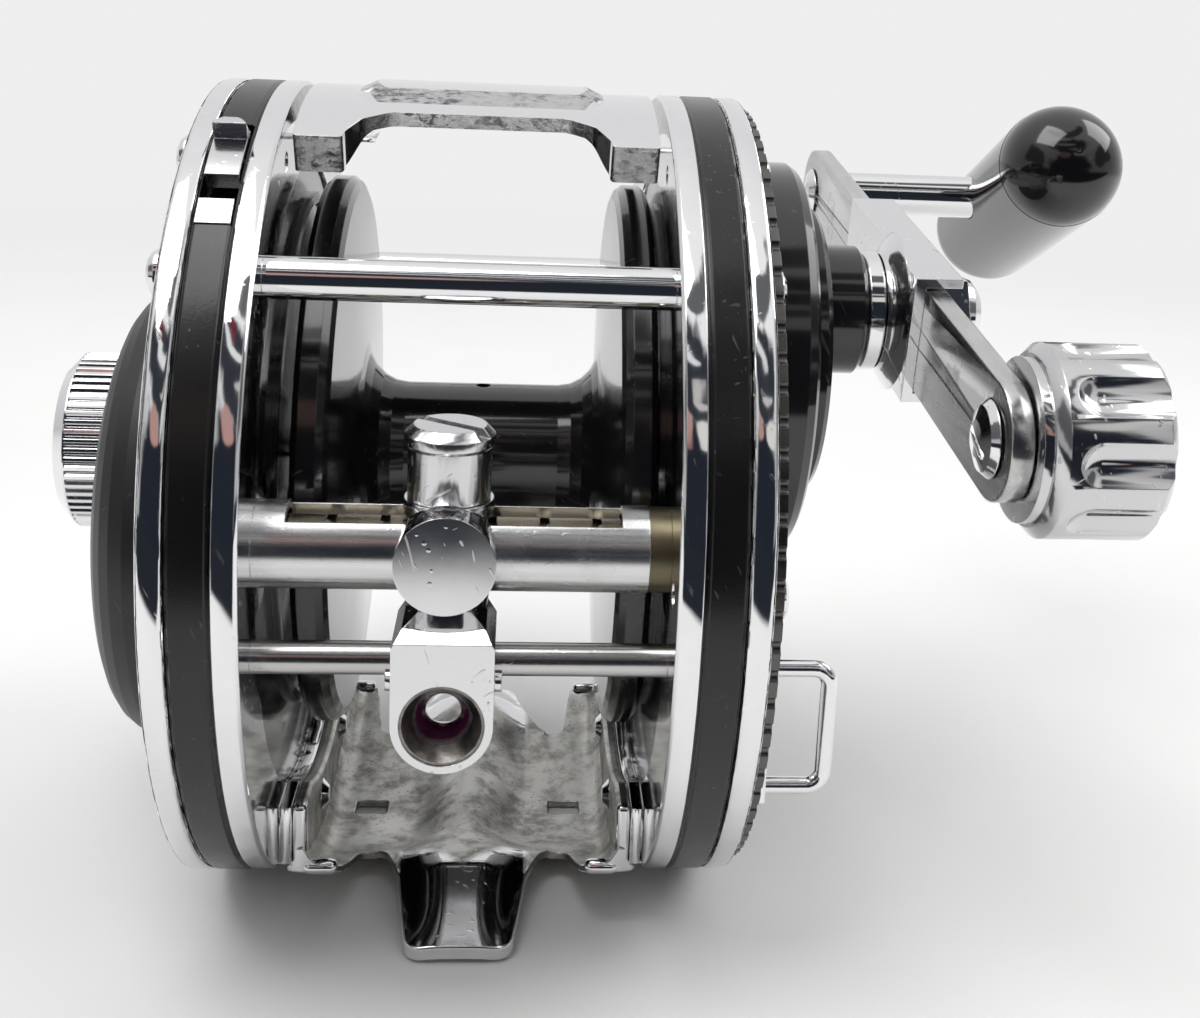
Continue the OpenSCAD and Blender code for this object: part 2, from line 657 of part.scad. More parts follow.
// The line carriage slides on the guard tube and the guide rod.
face_y = -43;
eye_z = axis_h - 12.4;
module line_carriage() {
    w = carriage_half;
    color("silver") difference() {
        union() {
            translate([carriage_x, face_y + 0.5, worm_c[1] + 0.6]) rotate([-90, 0, 0]) cylinder(r = 4.9,
                    h = 12.9);
            translate([carriage_x, worm_c[0], worm_c[1] - 6]) cylinder(r1 = 4, r2 = 5, h = 7);
            translate([carriage_x, worm_c[0], worm_c[1] + 1]) cylinder(r1 = 5, r2 = 4.4, h = 4.2);
            boss_block(w);
            eye_block(w);
            for (s = [-1, 1]) xcyl([face_y + 3.3, eye_z + 3.4], 1.15, carriage_x + s * w - 0.7,
                    carriage_x + s * w + 0.7, 32);
        }
        xcyl(worm_c, tube_r + run, carriage_x - 9, carriage_x + 9);
        xcyl(guide_c, guide_r + run, carriage_x - 9, carriage_x + 9, 48);
        translate([carriage_x, worm_c[0], worm_c[1]]) cylinder(r = 2.7, h = 12, $fn = 48);
        translate([carriage_x, worm_c[0], worm_c[1] + 5.2]) cylinder(r = 4.15, h = 12);
        line_eye();
    }
}
// Block round the guide rod, leaning back at the top, with its upper edge arched.
module boss_block(w) {
    intersection() {
        translate([carriage_x - w, 0, 0]) rotate([90, 0, 90]) linear_extrude(2 * w) polygon([
            [face_y, axis_h - 10], [face_y, axis_h - 4], [face_y + 1.3, axis_h - 2.9],
            [face_y + 3.4, axis_h - 1.6],
            [-33.6, axis_h - 1.6], [-33.6, axis_h - 6], [-35.6, axis_h - 10]]);
        translate([carriage_x, 0, 0]) rotate([90, 0, 0]) linear_extrude(60) polygon([
            [-w, axis_h - 20], [-w, axis_h - 4.4], [-w + 0.9, axis_h - 3], [-2.6, axis_h - 1.9],
            [0, axis_h - 1.55],
            [2.6, axis_h - 1.9], [w - 0.9, axis_h - 3], [w, axis_h - 4.4], [w, axis_h - 20]]);
    }
}
module eye_block(w) {
    depth = 7;
    translate([carriage_x, face_y, eye_z]) rotate([-90, 0, 0]) cylinder(r = w, h = depth);
    translate([carriage_x - w, face_y, eye_z]) cube([2 * w, depth, 4]);
}
// The line ring narrows behind its mouth, and its bore opens again at the back so that the line can swing.
eye_r = 4.15;
eye_lip = 1.6;
eye_waist = 3.4;
eye_depth = 5;
eye_back_r = line_hole_d / 2 + 1.45;
module line_eye() {
    throat = line_hole_d / 2 + 0.5;
    translate([carriage_x, face_y, eye_z]) rotate([-90, 0, 0]) rotate_extrude($fn = 64) polygon([
        [0, -1], [eye_r, -1], [eye_r, eye_lip], [eye_back_r, eye_waist], [eye_back_r, eye_depth],
        [throat, eye_depth], [3, 7.1], [0, 7.1]]);
}
// Dished ring that guides the line into the narrow throat.
module line_ring() {
    hole = line_hole_d / 2;
    color([0.25, 0.08, 0.2]) translate([carriage_x, face_y, eye_z])
        rotate([-90, 0, 0]) rotate_extrude() polygon([
        [eye_r, 0.15], [eye_r, eye_lip], [eye_back_r, eye_waist], [eye_back_r, eye_depth],
        [hole + 0.5, eye_depth], [hole + 0.1, eye_depth - 0.4], [hole, eye_depth - 0.8],
        [hole, 3.6], [hole + 0.3, 3], [hole + 1, 1.9], [3.5, 0.7], [3.85, 0.15]]);
}
cap_z = worm_c[1] + 12.6;
module pawl_cap() {
    r = 4.1;
    rim = 4.45;
    c = 0.9;
    color([0.82, 0.82, 0.82]) translate([carriage_x, worm_c[0], 0]) difference() {
        union() {
            translate([0, 0, worm_c[1] + 5.25]) cylinder(r = r, h = 6.6);
            translate([0, 0, cap_z - c - 1.3]) cylinder(r1 = r, r2 = rim, h = 0.4);
            translate([0, 0, cap_z - c - 0.9]) cylinder(r = rim, h = 0.9);
            translate([0, 0, cap_z - c]) cylinder(r1 = rim, r2 = rim - c, h = c);
        }
        translate([0, 0, cap_z]) rotate([0, 0, -35]) cube([12, 1.2, 1.8], center = true);
        translate([0, 0, worm_c[1] + 5]) cylinder(r = 2.2, h = 4.5, $fn = 48);
    }
}
module pawl() {
    color([0.75, 0.62, 0.32]) translate([carriage_x, worm_c[0], worm_c[1]]) union() {
        translate([0, 0, 4]) cylinder(r = 2.1, h = 5.3, $fn = 48);
        translate([-1.6, -0.45, worm_r + 0.15]) cube([3.2, 0.9, 1]);
    }
}

/* ---- clutch ---- */
teeth_x0 = 29.7;
pinion_x1 = 34.2;
module pinion() {
    color([0.78, 0.64, 0.34]) difference() {
        union() {
            slab(teeth_x0, pinion_x1) translate(spool_c) gear(gear_m, pinion_z, mesh_a + 180 + 180 /
                    pinion_z);
            xcyl(spool_c, 3.9, 28.3, teeth_x0);
            xcyl(spool_c, 5.2, 27.15, 28.4);
        }
        xcyl(spool_c, spool_shaft_r + run, 26, pinion_x1 + 1, 48);
        translate([27.1, spool_c[0], spool_c[1]]) cube([2.4, 12, 1.4], center = true);
    }
}
module clutch_yoke() {
    color([0.66, 0.66, 0.64]) slab(28.55, 29.45) difference() {
        union() {
            for (c = yoke_post_c) translate(c) circle(2.7, $fn = 48);
            translate([spool_c[0] - 9.2, spool_c[1] - 3.2]) square([18.4, 5.4]);
            intersection() {
                translate(spool_c) circle(6.8, $fn = 64);
                translate([spool_c[0] - 7, spool_c[1] - 7]) square([14, 7]);
            }
        }
        translate(spool_c) circle(4.05);
        translate([spool_c[0] - 4.05, spool_c[1]]) square([8.1, 5]);
        for (c = yoke_post_c) translate(c) circle(yoke_post_r + run, $fn = 32);
    }
}
// Each spring is drawn as the sleeve that its coils fill.
module yoke_springs() {
    color([0.75, 0.75, 0.75]) for (c = yoke_post_c) tube_x(c, 2.2, 1.5, 29.5, 34.2);
}
loop_r = 0.9;
loop_bend = 1.8;
loop_y = -33.2;
loop_top = axis_h - 10.5;
loop_low = axis_h - 23.8;
loop_x = 38.1;
module clutch_lever() {
    lever_x = cover_x + 0.15;
    t = 1.2;
    color("silver") union() {
        slab(lever_x, lever_x + t) union() {
            translate(clutch_c) circle(4.2, $fn = 48);
            polygon([
                [clutch_c[0] - 1, clutch_c[1] + 4], [loop_y + 1.4, loop_top + 1.7],
                [loop_y - 1.2, loop_top + 1.7], [loop_y - 1.2, loop_low - 1.5],
                [loop_y + 1.4, loop_low - 1.5], [clutch_c[0] - 1, clutch_c[1] - 4]]);
        }
        lathe(clutch_c, [[0, lever_x], [3, lever_x], [3, lever_x + 2], [2.2, lever_x + 2.7], [0, lever_x
                + 2.7]]);
        xcyl([loop_y, loop_top], loop_r, lever_x, loop_x - loop_bend + eps, 32);
        xcyl([loop_y, loop_low], loop_r, lever_x, loop_x - loop_bend + eps, 32);
        translate([loop_x, loop_y, loop_low + loop_bend - eps]) cylinder(r = loop_r, h = loop_top -
                loop_low - 2 * loop_bend + 2 * eps, $fn = 32);
        translate([loop_x - loop_bend, loop_y, loop_top - loop_bend]) rotate([90, 0, 0]) loop_corner();
        translate([loop_x - loop_bend, loop_y, loop_low + loop_bend]) rotate([-90, 0, 0]) loop_corner();
    }
}
module loop_corner() {
    rotate_extrude(angle = 90) translate([loop_bend, 0]) circle(loop_r, $fn = 32);
}

/* ---- click slide on the left rim ---- */
rim_out = ring_r + 0.35;
rim_x0 = -x_outer + 0.25;
rim_x1 = -x_plate - 0.25;
module rim_slide() {
    color("silver") union() {
        ring_block(ring_r - 1.5, rim_out, 55.3, 64.6, rim_x0, rim_x1);
        intersection() {
            ring_block(ring_r - 0.5, ring_r + 2.2, 62.6, 64, rim_x0, rim_x1);
            translate([(rim_x0 + rim_x1) / 2, on_ring(ring_r, 63.3)[0], on_ring(ring_r, 63.3)[1]])
                    rotate([-26.7 + 90, 0, 0])
                translate([0, 0, -4]) cylinder(r = 1.9, h = 8, $fn = 48);
        }
    }
}
module rim_stop() {
    color([0.85, 0.83, 0.78]) ring_block(ring_r - slot_depth, ring_r + 0.15, slot_a0 + 0.1, 51.3, rim_x0,
            rim_x1);
}

/* ---- crank train ---- */
ratchet_z = 12;
module ratchet() {
    r0 = 6.4;
    r1 = 7.65;
    color([0.7, 0.7, 0.7]) slab(28.75, 30.2) translate(crank_c) difference() {
        polygon([for (i = [0:ratchet_z - 1], k = [0:1])
            let (a = dog_face_a + (i + (k == 0 ? 0 : 0.04)) * 360 / ratchet_z) (k == 0 ? r0 : r1) *
                    [cos(a), sin(a)]]);
        circle(sleeve_r, $fn = 64);
    }
}
// The dog is held clear of the ratchet; swung in by dog_lift, its nose stands in a tooth space.
dog_lift = 11;
dog_a = atan2(dog_c[1] - crank_c[1], dog_c[0] - crank_c[0]);
dog_face_a = dog_a + 27;
module anti_reverse_dog() {
    nose = crank_c + 7 * [cos(dog_face_a - 3), sin(dog_face_a - 3)];
    front = crank_c + 9.8 * [cos(dog_face_a - 1), sin(dog_face_a - 1)];
    heel = crank_c + 8.5 * [cos(dog_face_a - 14), sin(dog_face_a - 14)];
    upper = dog_c + 2.3 * [cos(dog_a + 95), sin(dog_a + 95)];
    lower = dog_c + 2.3 * [cos(dog_a - 95), sin(dog_a - 95)];
    color([0.68, 0.68, 0.66]) union() {
        slab(28.8, 30.1) translate(dog_c) rotate(-dog_lift) translate(-dog_c) difference() {
            union() {
                translate(dog_c) circle(2.4, $fn = 48);
                polygon([nose, front, upper, lower, heel]);
            }
            translate(dog_c) circle(0.7, $fn = 24);
        }
        xcyl(dog_c, 1.2 - run, 26.9, 28.85, 32);
        xcyl(dog_c, 1.2, 30, 30.35, 32);
    }
}
module gear_sleeve() {
    color([0.8, 0.8, 0.8]) difference() {
        union() {
            xcyl(crank_c, sleeve_r, 28.6, bracket_x);
            xcyl(crank_c, stud_r, bracket_x - 1, 58.2, 64);
        }
        xcyl(crank_c, 2.5 + run, 27, 44.4, 48);
    }
}
main_x0 = 30.7;
main_x1 = 33.7;
module main_gear() {
    color([0.76, 0.62, 0.33]) difference() {
        slab(main_x0, main_x1) translate(crank_c) difference() {
            gear(gear_m, main_z, mesh_a);
            circle(sleeve_r, $fn = 64);
        }
        tube_x(crank_c, 13, 6.4, 32.9, main_x1 + 1);
    }
}
disc_t = 0.45;
module drag_plates() {
    color([0.75, 0.75, 0.75]) for (i = [0:2]) tube_x(crank_c, 10.4, sleeve_r, main_x1 + (2 * i + 1) *
            disc_t, main_x1 + (2 * i + 2) * disc_t);
}
module drag_washers() {
    color([0.35, 0.2, 0.12]) union() {
        tube_x(crank_c, 10.2, 6.5, 32.9, main_x1 + disc_t);
        for (i = [1:2]) tube_x(crank_c, 10.2, sleeve_r, main_x1 + 2 * i * disc_t, main_x1 + (2 * i + 1) *
                disc_t);
    }
}
module drag_collar() {
    x0 = boss_x + 0.1;
    x1 = 47.85;
    color("silver") lathe(crank_c, [[sleeve_r + run, x0], [7.0, x0], [7.3, x0 + 0.3], [7.3, x1 - 0.3],
            [7.0, x1], [sleeve_r + run, x1]]);
}
module along_arm(x) {
    translate([x, crank_c[0], crank_c[1]]) rotate([arm_tilt, 0, 0]) rotate([0, 0, arm_skew]) children();
}
// How far the skewed arm stands out at distance d from the crank axis.
function arm_shift(d) = -d * tan(arm_skew);
bracket_h = 15.4;
bracket_near = -10;
bracket_far = 22;
flange_t = 1.1;
// Folded channel behind the arm, on a flared hub.
module arm_bracket() {
    flange_out = 55.2;
    color("silver") difference() {
        union() {
            lathe(crank_c, [[stud_r, 48], [7.1, 48], [7.3, 48.5], [8.3, 49], [9.6, bracket_x + 0.3],
                    [stud_r, bracket_x + 0.3]]);
            along_arm(bracket_x) translate([0, bracket_near, -bracket_h / 2]) cube([arm_x - bracket_x,
                    bracket_far - bracket_near, bracket_h]);
            for (s = [-1, 1]) along_arm(bracket_x) translate([0, bracket_near, s > 0 ? bracket_h / 2 -
                    flange_t : -bracket_h / 2])
                cube([flange_out - bracket_x, bracket_far - bracket_near, flange_t]);
        }
        xcyl(crank_c, sleeve_r + 0.03, 40, bracket_x);
        xcyl(crank_c, stud_r + 0.03, 40, 60, 64);
    }
}
arm_half = 6.4;
module handle_arm() {
    color([0.6, 0.6, 0.6]) difference() {
        along_arm(arm_x) rotate([90, 0, 90]) linear_extrude(arm_t) union() {
            translate([grip_reach, 0]) circle(arm_half);
            translate([-weight_reach, 0]) circle(arm_half);
            translate([-weight_reach, -arm_half]) square([weight_reach + grip_reach, 2 * arm_half]);
        }
        xcyl(crank_c, stud_r + 0.03, arm_x - 1, arm_out_x + 1, 64);
        xcyl(grip_c, 2.2, arm_x - 4, arm_out_x + 1, 48);
        xcyl(weight_c, 2, arm_x - 1, arm_out_x + 4, 48);
    }
}
module cap_nut() {
    x0 = arm_out_x + 0.15;
    x1 = 58.6;
    color("silver") difference() {
        union() {
            xcyl(crank_c, 5.1, x0, x1, 6);
            lathe(crank_c, [[0, x1 - eps], [4.4, x1 - eps], [4.1, x1 + 0.9], [2.9, x1 + 1.9], [0, x1 +
                    2.3]]);
            xcyl(crank_c, 5.15, x0, x0 + 0.6);
        }
        xcyl(crank_c, stud_r, arm_out_x - 1, 58.2, 64);
    }
}
// The weight stands on the arm's outer face, its rivet and washer on the two faces.
arm_at_weight = arm_x + arm_shift(-weight_reach);
washer_x0 = arm_at_weight + arm_t + 0.3;
weight_x0 = washer_x0 + 1;
weight_x1 = 67.6;
module counterweight() {
    flutes = 9;
    c = 0.8;
    color("silver") difference() {
        union() {
            lathe(weight_c, [[0, weight_x0], [weight_r - 1.1, weight_x0], [weight_r, weight_x0 + 1.1],
                    [weight_r, weight_x1 - c],
                             [weight_r - c, weight_x1], [0, weight_x1]]);
            xcyl(weight_c, 8.4, washer_x0, weight_x0);
        }
        for (i = [0:flutes - 1]) translate([0, weight_c[0], weight_c[1]]) rotate([i * 360 / flutes + 8,
                0, 0])
            translate([60.4, 0, 12.1]) {
                rotate([0, 90, 0]) cylinder(r = 3.3, h = 12, $fn = 40);
                sphere(3.3, $fn = 40);
            }
        xcyl(weight_c, 2, washer_x0 - 1, weight_x0 + 7, 48);
    }
}
module weight_rivet() {
    head_x = arm_at_weight - 0.1;
    color("silver") difference() {
        union() {
            lathe(weight_c, [[0, head_x - 1.5], [1.9, head_x - 1.35], [3.4, head_x - 0.8], [4.1, head_x],
                    [0, head_x]]);
            xcyl(weight_c, 2, head_x - eps, weight_x0 + 6.5, 48);
        }
        translate([head_x - 1.5, weight_c[0], weight_c[1]]) rotate([30, 0, 0]) cube([0.9, 5.4, 0.9],
                center = true);
    }
}
arm_at_grip = arm_x + arm_shift(grip_reach);
module grip_shaft() {
    shoulder = 3.2;
    x0 = arm_at_grip + arm_t + 0.15;
    head_x = arm_at_grip - 0.15;
    color("silver") union() {
        xcyl(grip_c, shoulder, x0, grip_x - grip_r + 0.5, 64);
        xcyl(grip_c, 2.4, grip_x - grip_r, grip_x + 4, 64);
        xcyl(grip_c, 2.2, head_x - eps, x0 + eps, 48);
        lathe(grip_c, [[0, head_x - 1.3], [2.6, head_x - 0.9], [3.6, head_x], [0, head_x]]);
    }
}
module grip_axis() {
    translate([grip_x, grip_c[0], grip_c[1]]) rotate([grip_tilt, 0, 0]) rotate([0, 0, -grip_yaw])
            rotate([-90, 0, 0]) children();
}
module grip() {
    color([0.04, 0.04, 0.05]) difference() {
        grip_axis() translate([0, 0, -grip_half]) cylinder(r = grip_r, h = 2 * grip_half);
        xcyl(grip_c, 3.2 + run, grip_x - grip_r - 2, grip_x - grip_r + 1.2, 64);
        xcyl(grip_c, 2.4 + run, grip_x - grip_r - 2, grip_x + 4.5, 64);
    }
}
module grip_caps() {
    color([0.04, 0.04, 0.05]) grip_axis() for (s = [-1, 1]) intersection() {
        translate([0, 0, s * grip_half]) sphere(grip_r - 0.05, $fn = 96);
        translate([-20, -20, s > 0 ? grip_half : -grip_half - 20]) cube([40, 40, 20]);
    }
}

left_inner_ring();
right_inner_ring();
left_bearing_plate();
right_bearing_plate();
left_side_plate();
right_side_plate();
left_outer_ring();
right_outer_ring();
left_cover();
gear_cover();
milled_plate();
gear_plate();
top_bridge();
front_pillar();
rear_pillars();
left_plate_screws();
right_plate_screws();
rim_stop();
reel_foot();
foot_rivets();
guard_tube();
left_worm_bush();
right_worm_bush();
guide_rod();
left_spool_bearing();
right_spool_bearing();
idler_stud();
crank_post();
yoke_posts();
spool();
spool_shaft();
click_gear();
idler_gear();
worm_shaft();
worm_gear();
line_carriage();
pawl();
pawl_cap();
line_ring();
tension_knob();
pinion();
clutch_yoke();
yoke_springs();
clutch_lever();
rim_slide();
anti_reverse_dog();
gear_sleeve();
main_gear();
ratchet();
drag_plates();
drag_washers();
drag_collar();
arm_bracket();
handle_arm();
cap_nut();
counterweight();
weight_rivet();
grip_shaft();
grip();
grip_caps();
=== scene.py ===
import math

import bmesh
import bpy
from mathutils import Matrix, Vector, noise
from mathutils.geometry import delaunay_2d_cdt

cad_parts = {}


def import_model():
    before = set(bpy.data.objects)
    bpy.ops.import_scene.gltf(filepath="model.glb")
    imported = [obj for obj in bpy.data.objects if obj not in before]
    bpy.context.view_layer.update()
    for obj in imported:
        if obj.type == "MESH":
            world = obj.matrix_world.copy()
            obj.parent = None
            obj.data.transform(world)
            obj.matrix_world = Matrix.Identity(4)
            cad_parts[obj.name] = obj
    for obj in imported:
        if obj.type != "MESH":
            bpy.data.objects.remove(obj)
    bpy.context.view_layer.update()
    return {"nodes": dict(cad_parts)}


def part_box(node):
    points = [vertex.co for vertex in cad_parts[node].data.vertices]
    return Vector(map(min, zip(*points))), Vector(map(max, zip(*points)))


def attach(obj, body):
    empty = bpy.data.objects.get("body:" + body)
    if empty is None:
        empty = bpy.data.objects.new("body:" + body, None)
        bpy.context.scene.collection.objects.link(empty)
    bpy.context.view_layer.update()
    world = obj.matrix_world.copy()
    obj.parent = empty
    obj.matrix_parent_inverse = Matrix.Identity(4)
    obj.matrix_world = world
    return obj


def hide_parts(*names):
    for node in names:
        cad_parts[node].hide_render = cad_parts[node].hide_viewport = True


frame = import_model()
nodes = frame["nodes"]
MM = 0.001


def span_mm(node):
    """The node's lowest and highest corner, in millimetres."""
    low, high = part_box(node)
    return low / MM, high / MM


ring_low, ring_high = span_mm("left_outer_ring")
AXIS_H = (ring_low.z + ring_high.z) / 2
RING_R = (ring_high.z - ring_low.z) / 2
INNER_X = -span_mm("left_inner_ring")[1].x


# ---- shader trees ----
class Tree:
    """A material under construction: nodes are added by type, sockets are set or linked by name."""

    def __init__(self, name):
        self.mat = bpy.data.materials.new(name)
        self.mat.use_nodes = True
        self.nt = self.mat.node_tree
        self.shader = self.nt.nodes["Principled BSDF"]
        self.coord = self.add("ShaderNodeTexCoord").outputs["Object"]

    def add(self, kind, **sets):
        node = self.nt.nodes.new(kind)
        for key, value in sets.items():
            setattr(node, key, value)
        return node

    def put(self, socket, value):
        if isinstance(value, bpy.types.NodeSocket):
            self.nt.links.new(value, socket)
        else:
            socket.default_value = value

    def set(self, **values):
        for key, value in values.items():
            self.put(self.shader.inputs[key.replace("_", " ")], value)

    def mapping(self, stretch=(1, 1, 1), turn=(0, 0, 0)):
        """Object coordinates, turned first and stretched along the turned axes."""
        socket = self.coord
        for key, value in (("Rotation", turn), ("Scale", stretch)):
            node = self.add("ShaderNodeMapping")
            node.inputs[key].default_value = value
            self.put(node.inputs["Vector"], socket)
            socket = node.outputs[0]
        return socket

    def noise(self, scale, detail=3.0, rough=0.55, stretch=(1, 1, 1), turn=(0, 0, 0)):
        node = self.add("ShaderNodeTexNoise")
        node.inputs["Scale"].default_value = scale
        node.inputs["Detail"].default_value = detail
        node.inputs["Roughness"].default_value = rough
        self.put(node.inputs["Vector"], self.mapping(stretch, turn))
        return node.outputs[0]

    def cells(self, scale):
        node = self.add("ShaderNodeTexVoronoi")
        node.inputs["Scale"].default_value = scale
        self.put(node.inputs["Vector"], self.mapping())
        return node.outputs["Distance"]

    def span(self, value, lo, hi, to_lo=0.0, to_hi=1.0):
        node = self.add("ShaderNodeMapRange")
        for key, number in (("From Min", lo), ("From Max", hi), ("To Min", to_lo), ("To Max", to_hi)):
            self.put(node.inputs[key], number)
        self.put(node.inputs["Value"], value)
        return node.outputs[0]

    def math(self, kind, a, b=0.0):
        node = self.add("ShaderNodeMath", operation=kind)
        self.put(node.inputs[0], a)
        self.put(node.inputs[1], b)
        return node.outputs[0]

    def mix(self, factor, a, b):
        node = self.add("ShaderNodeMix", data_type="RGBA")
        self.put(node.inputs[0], factor)
        self.put(node.inputs[6], a)
        self.put(node.inputs[7], b)
        return node.outputs[2]

    def bump(self, *layers, round_edges=0.0):
        """Layers of (height, strength, distance), laid one over the other."""
        normal = None
        if round_edges:
            edge = self.add("ShaderNodeBevel", samples=4)
            edge.inputs["Radius"].default_value = round_edges
            normal = edge.outputs[0]
        for height, strength, distance in layers:
            node = self.add("ShaderNodeBump")
            node.inputs["Strength"].default_value = strength
            node.inputs["Distance"].default_value = distance
            self.put(node.inputs["Height"], height)
            if normal is not None:
                self.put(node.inputs["Normal"], normal)
            normal = node.outputs[0]
        self.put(self.shader.inputs["Normal"], normal)

    def scratches(self, lo=0.70, along=28.0, across=1500.0):
        """Fine straight lines in three directions, 1 on a line and 0 off it, gathered in patches."""
        found = None
        for i, turn in enumerate(((0.2, 0.5, 0.3), (1.3, -0.4, 1.9), (2.5, 0.9, -0.8))):
            line = self.span(self.noise(1.0, 1.0, 0.5, (along, across, across), turn), lo, lo + 0.04)
            gate = self.span(self.noise(70.0 + 30 * i, 2.0, 0.5), 0.46, 0.60)
            line = self.math("MULTIPLY", line, gate)
            found = line if found is None else self.math("MAXIMUM", found, line)
        return found

    def pits(self, scale, size, lo, hi, patch=75.0):
        """Round specks no wider than size, only in patches."""
        speck = self.span(self.cells(scale), size * 0.5, size, 1.0, 0.0)
        return self.math("MULTIPLY", speck, self.span(self.noise(patch, 5.0, 0.7), lo, hi))


def rgb(r, g=None, b=None):
    return (r, r if g is None else g, r if b is None else b, 1.0)


def tinted(tone, tint):
    return rgb(*[min(1.0, tone * c) for c in tint])


# ---- materials ----
def chrome(name, tone=0.8, rough=0.05, wear=0.5, pits=0.3, round_edges=0.00016):
    """Bright plating with hairline scratches, a little haze and specks where it has worn through."""
    t = Tree(name)
    lines = t.scratches()
    cloud = t.noise(60.0, 4.0)
    pit = t.pits(900.0, 0.22, 0.56, 0.70)
    haze = t.span(cloud, 0.35, 0.8, 0.0, 0.07 * wear)
    total = t.math("ADD", haze, t.math("MULTIPLY", lines, 0.3 * wear))
    total = t.math("ADD", total, t.math("MULTIPLY", pit, 0.4 * pits))
    dirt = t.math("MULTIPLY", pit, pits)
    base = t.mix(t.math("MULTIPLY", lines, 0.5 * wear), rgb(tone, tone, tone * 1.01), rgb(0.95))
    t.set(Metallic=1.0, Base_Color=t.mix(dirt, base, rgb(0.2, 0.18, 0.15)))
    t.set(Roughness=t.math("ADD", total, rough))
    layers = ((cloud, 0.04, 0.0004), (lines, 0.25 * wear, 0.00003), (pit, 0.5 * pits, 0.0001))
    t.bump(*layers, round_edges=round_edges)
    return t.mat


def brushed(name, tone=0.62, rough=0.24, along=(40, 900, 900), tint=(1, 1, 1), grime=0.15):
    """Machined metal: grain along one axis, blotted with grime."""
    t = Tree(name)
    grain = t.noise(1.0, 3.0, 0.6, along)
    spot = t.span(t.noise(120.0, 4.0, 0.65), 0.58, 0.75, 0.0, grime)
    base = t.mix(t.span(grain, 0.3, 0.7), tinted(tone * 0.86, tint), tinted(tone * 1.08, tint))
    t.set(Metallic=1.0, Base_Color=t.mix(spot, base, rgb(0.16, 0.11, 0.06)))
    shine = t.span(grain, 0.3, 0.7, rough - 0.05, rough + 0.07)
    t.set(Roughness=t.math("ADD", shine, t.math("MULTIPLY", spot, 0.6)))
    t.bump((grain, 0.10, 0.00005), (t.scratches(0.68), 0.2, 0.00004), round_edges=0.00015)
    return t.mat


def black(name, tone=0.010, rough=0.14, wear=0.5, coat=0.4, grain=0.0, pale=(0.16, 0.16, 0.165)):
    """Moulded black: gloss that varies, hairlines and specks of dust."""
    t = Tree(name)
    lines = t.scratches(0.71, 40.0, 1700.0)
    dust = t.pits(1400.0, 0.10, 0.52, 0.66, 110.0)
    mark = t.math("MAXIMUM", t.math("MULTIPLY", lines, 0.5 * wear), t.math("MULTIPLY", dust, 0.3 * wear))
    t.set(Base_Color=t.mix(mark, rgb(tone, tone, tone * 1.06), rgb(*pale)))
    cloud = t.noise(45.0, 4.0)
    shine = t.span(cloud, 0.3, 0.75, rough * 0.75, rough * 1.4)
    t.set(Roughness=t.math("ADD", shine, t.math("MULTIPLY", mark, 0.4)))
    t.set(Coat_Weight=coat)
    t.shader.inputs["Coat Roughness"].default_value = 0.05
    layers = [(cloud, 0.03, 0.0005), (lines, 0.12 * wear, 0.00003)]
    if grain:
        layers.append((t.noise(2600.0, 2.0, 0.6), grain, 0.00004))
    t.bump(*layers, round_edges=0.0002)
    return t.mat


def foot_metal():
    """Plated sheet, dull and pitted on the pan and polished on the tongue's slopes."""
    t = Tree("foot_plate")
    place = t.add("ShaderNodeSeparateXYZ")
    t.put(place.inputs[0], t.coord)
    side = t.math("ABSOLUTE", place.outputs["X"])
    front = t.math("ABSOLUTE", place.outputs["Y"])
    edge = t.math("ADD", front, t.span(t.noise(110.0, 3.0), 0.3, 0.7, -0.0006, 0.0006))
    reach = t.math("ADD", edge, t.math("MULTIPLY", side, 0.95))
    polish = t.math("MULTIPLY", t.span(reach, 0.0203, 0.0222), t.span(side, 0.0070, 0.0078, 1.0, 0.0))
    polish = t.math("MAXIMUM", polish, t.span(edge, 0.0212, 0.0226))
    blot = t.noise(300.0, 6.0, 0.7)
    wide = t.noise(70.0, 4.0, 0.6)
    pit = t.pits(1500.0, 0.26, 0.48, 0.62, 190.0)
    dull = t.math("SUBTRACT", 1.0, polish)
    dark = t.math("MULTIPLY", t.span(blot, 0.44, 0.62), 0.62)
    dark = t.math("MAXIMUM", dark, t.math("MULTIPLY", pit, 0.8))
    dark = t.math("MULTIPLY", dark, t.span(polish, 0.0, 1.0, 1.0, 0.10))
    base = t.mix(polish, rgb(0.50, 0.495, 0.47), rgb(0.74, 0.74, 0.75))
    t.set(Metallic=1.0, Base_Color=t.mix(dark, base, rgb(0.15, 0.145, 0.125)))
    shine = t.math("MULTIPLY", t.span(wide, 0.3, 0.7, 0.20, 0.34), dull)
    t.set(Roughness=t.math("ADD", t.math("ADD", shine, 0.06), t.math("MULTIPLY", dark, 0.22)))
    relief = t.math("MULTIPLY", blot, dull)
    dull_pit = t.math("MULTIPLY", pit, dull)
    t.bump((relief, 0.22, 0.0002), (dull_pit, 0.35, 0.0001), (t.scratches(), 0.2, 0.00003))
    return t.mat


def cast_metal():
    """Rough bright casting: the thumb rest's slopes and the sawn ends of the bridge."""
    t = Tree("cast_edge")
    blot = t.noise(1100.0, 6.0, 0.75, (0.6, 1, 1))
    patch = t.noise(150.0, 4.0, 0.6)
    dark = t.math("MULTIPLY", t.span(blot, 0.46, 0.60), t.span(patch, 0.36, 0.56))
    t.set(Metallic=1.0, Base_Color=t.mix(dark, rgb(0.60), rgb(0.11, 0.115, 0.12)))
    t.set(Roughness=t.span(dark, 0.0, 1.0, 0.16, 0.5))
    t.bump((blot, 0.35, 0.0002))
    return t.mat


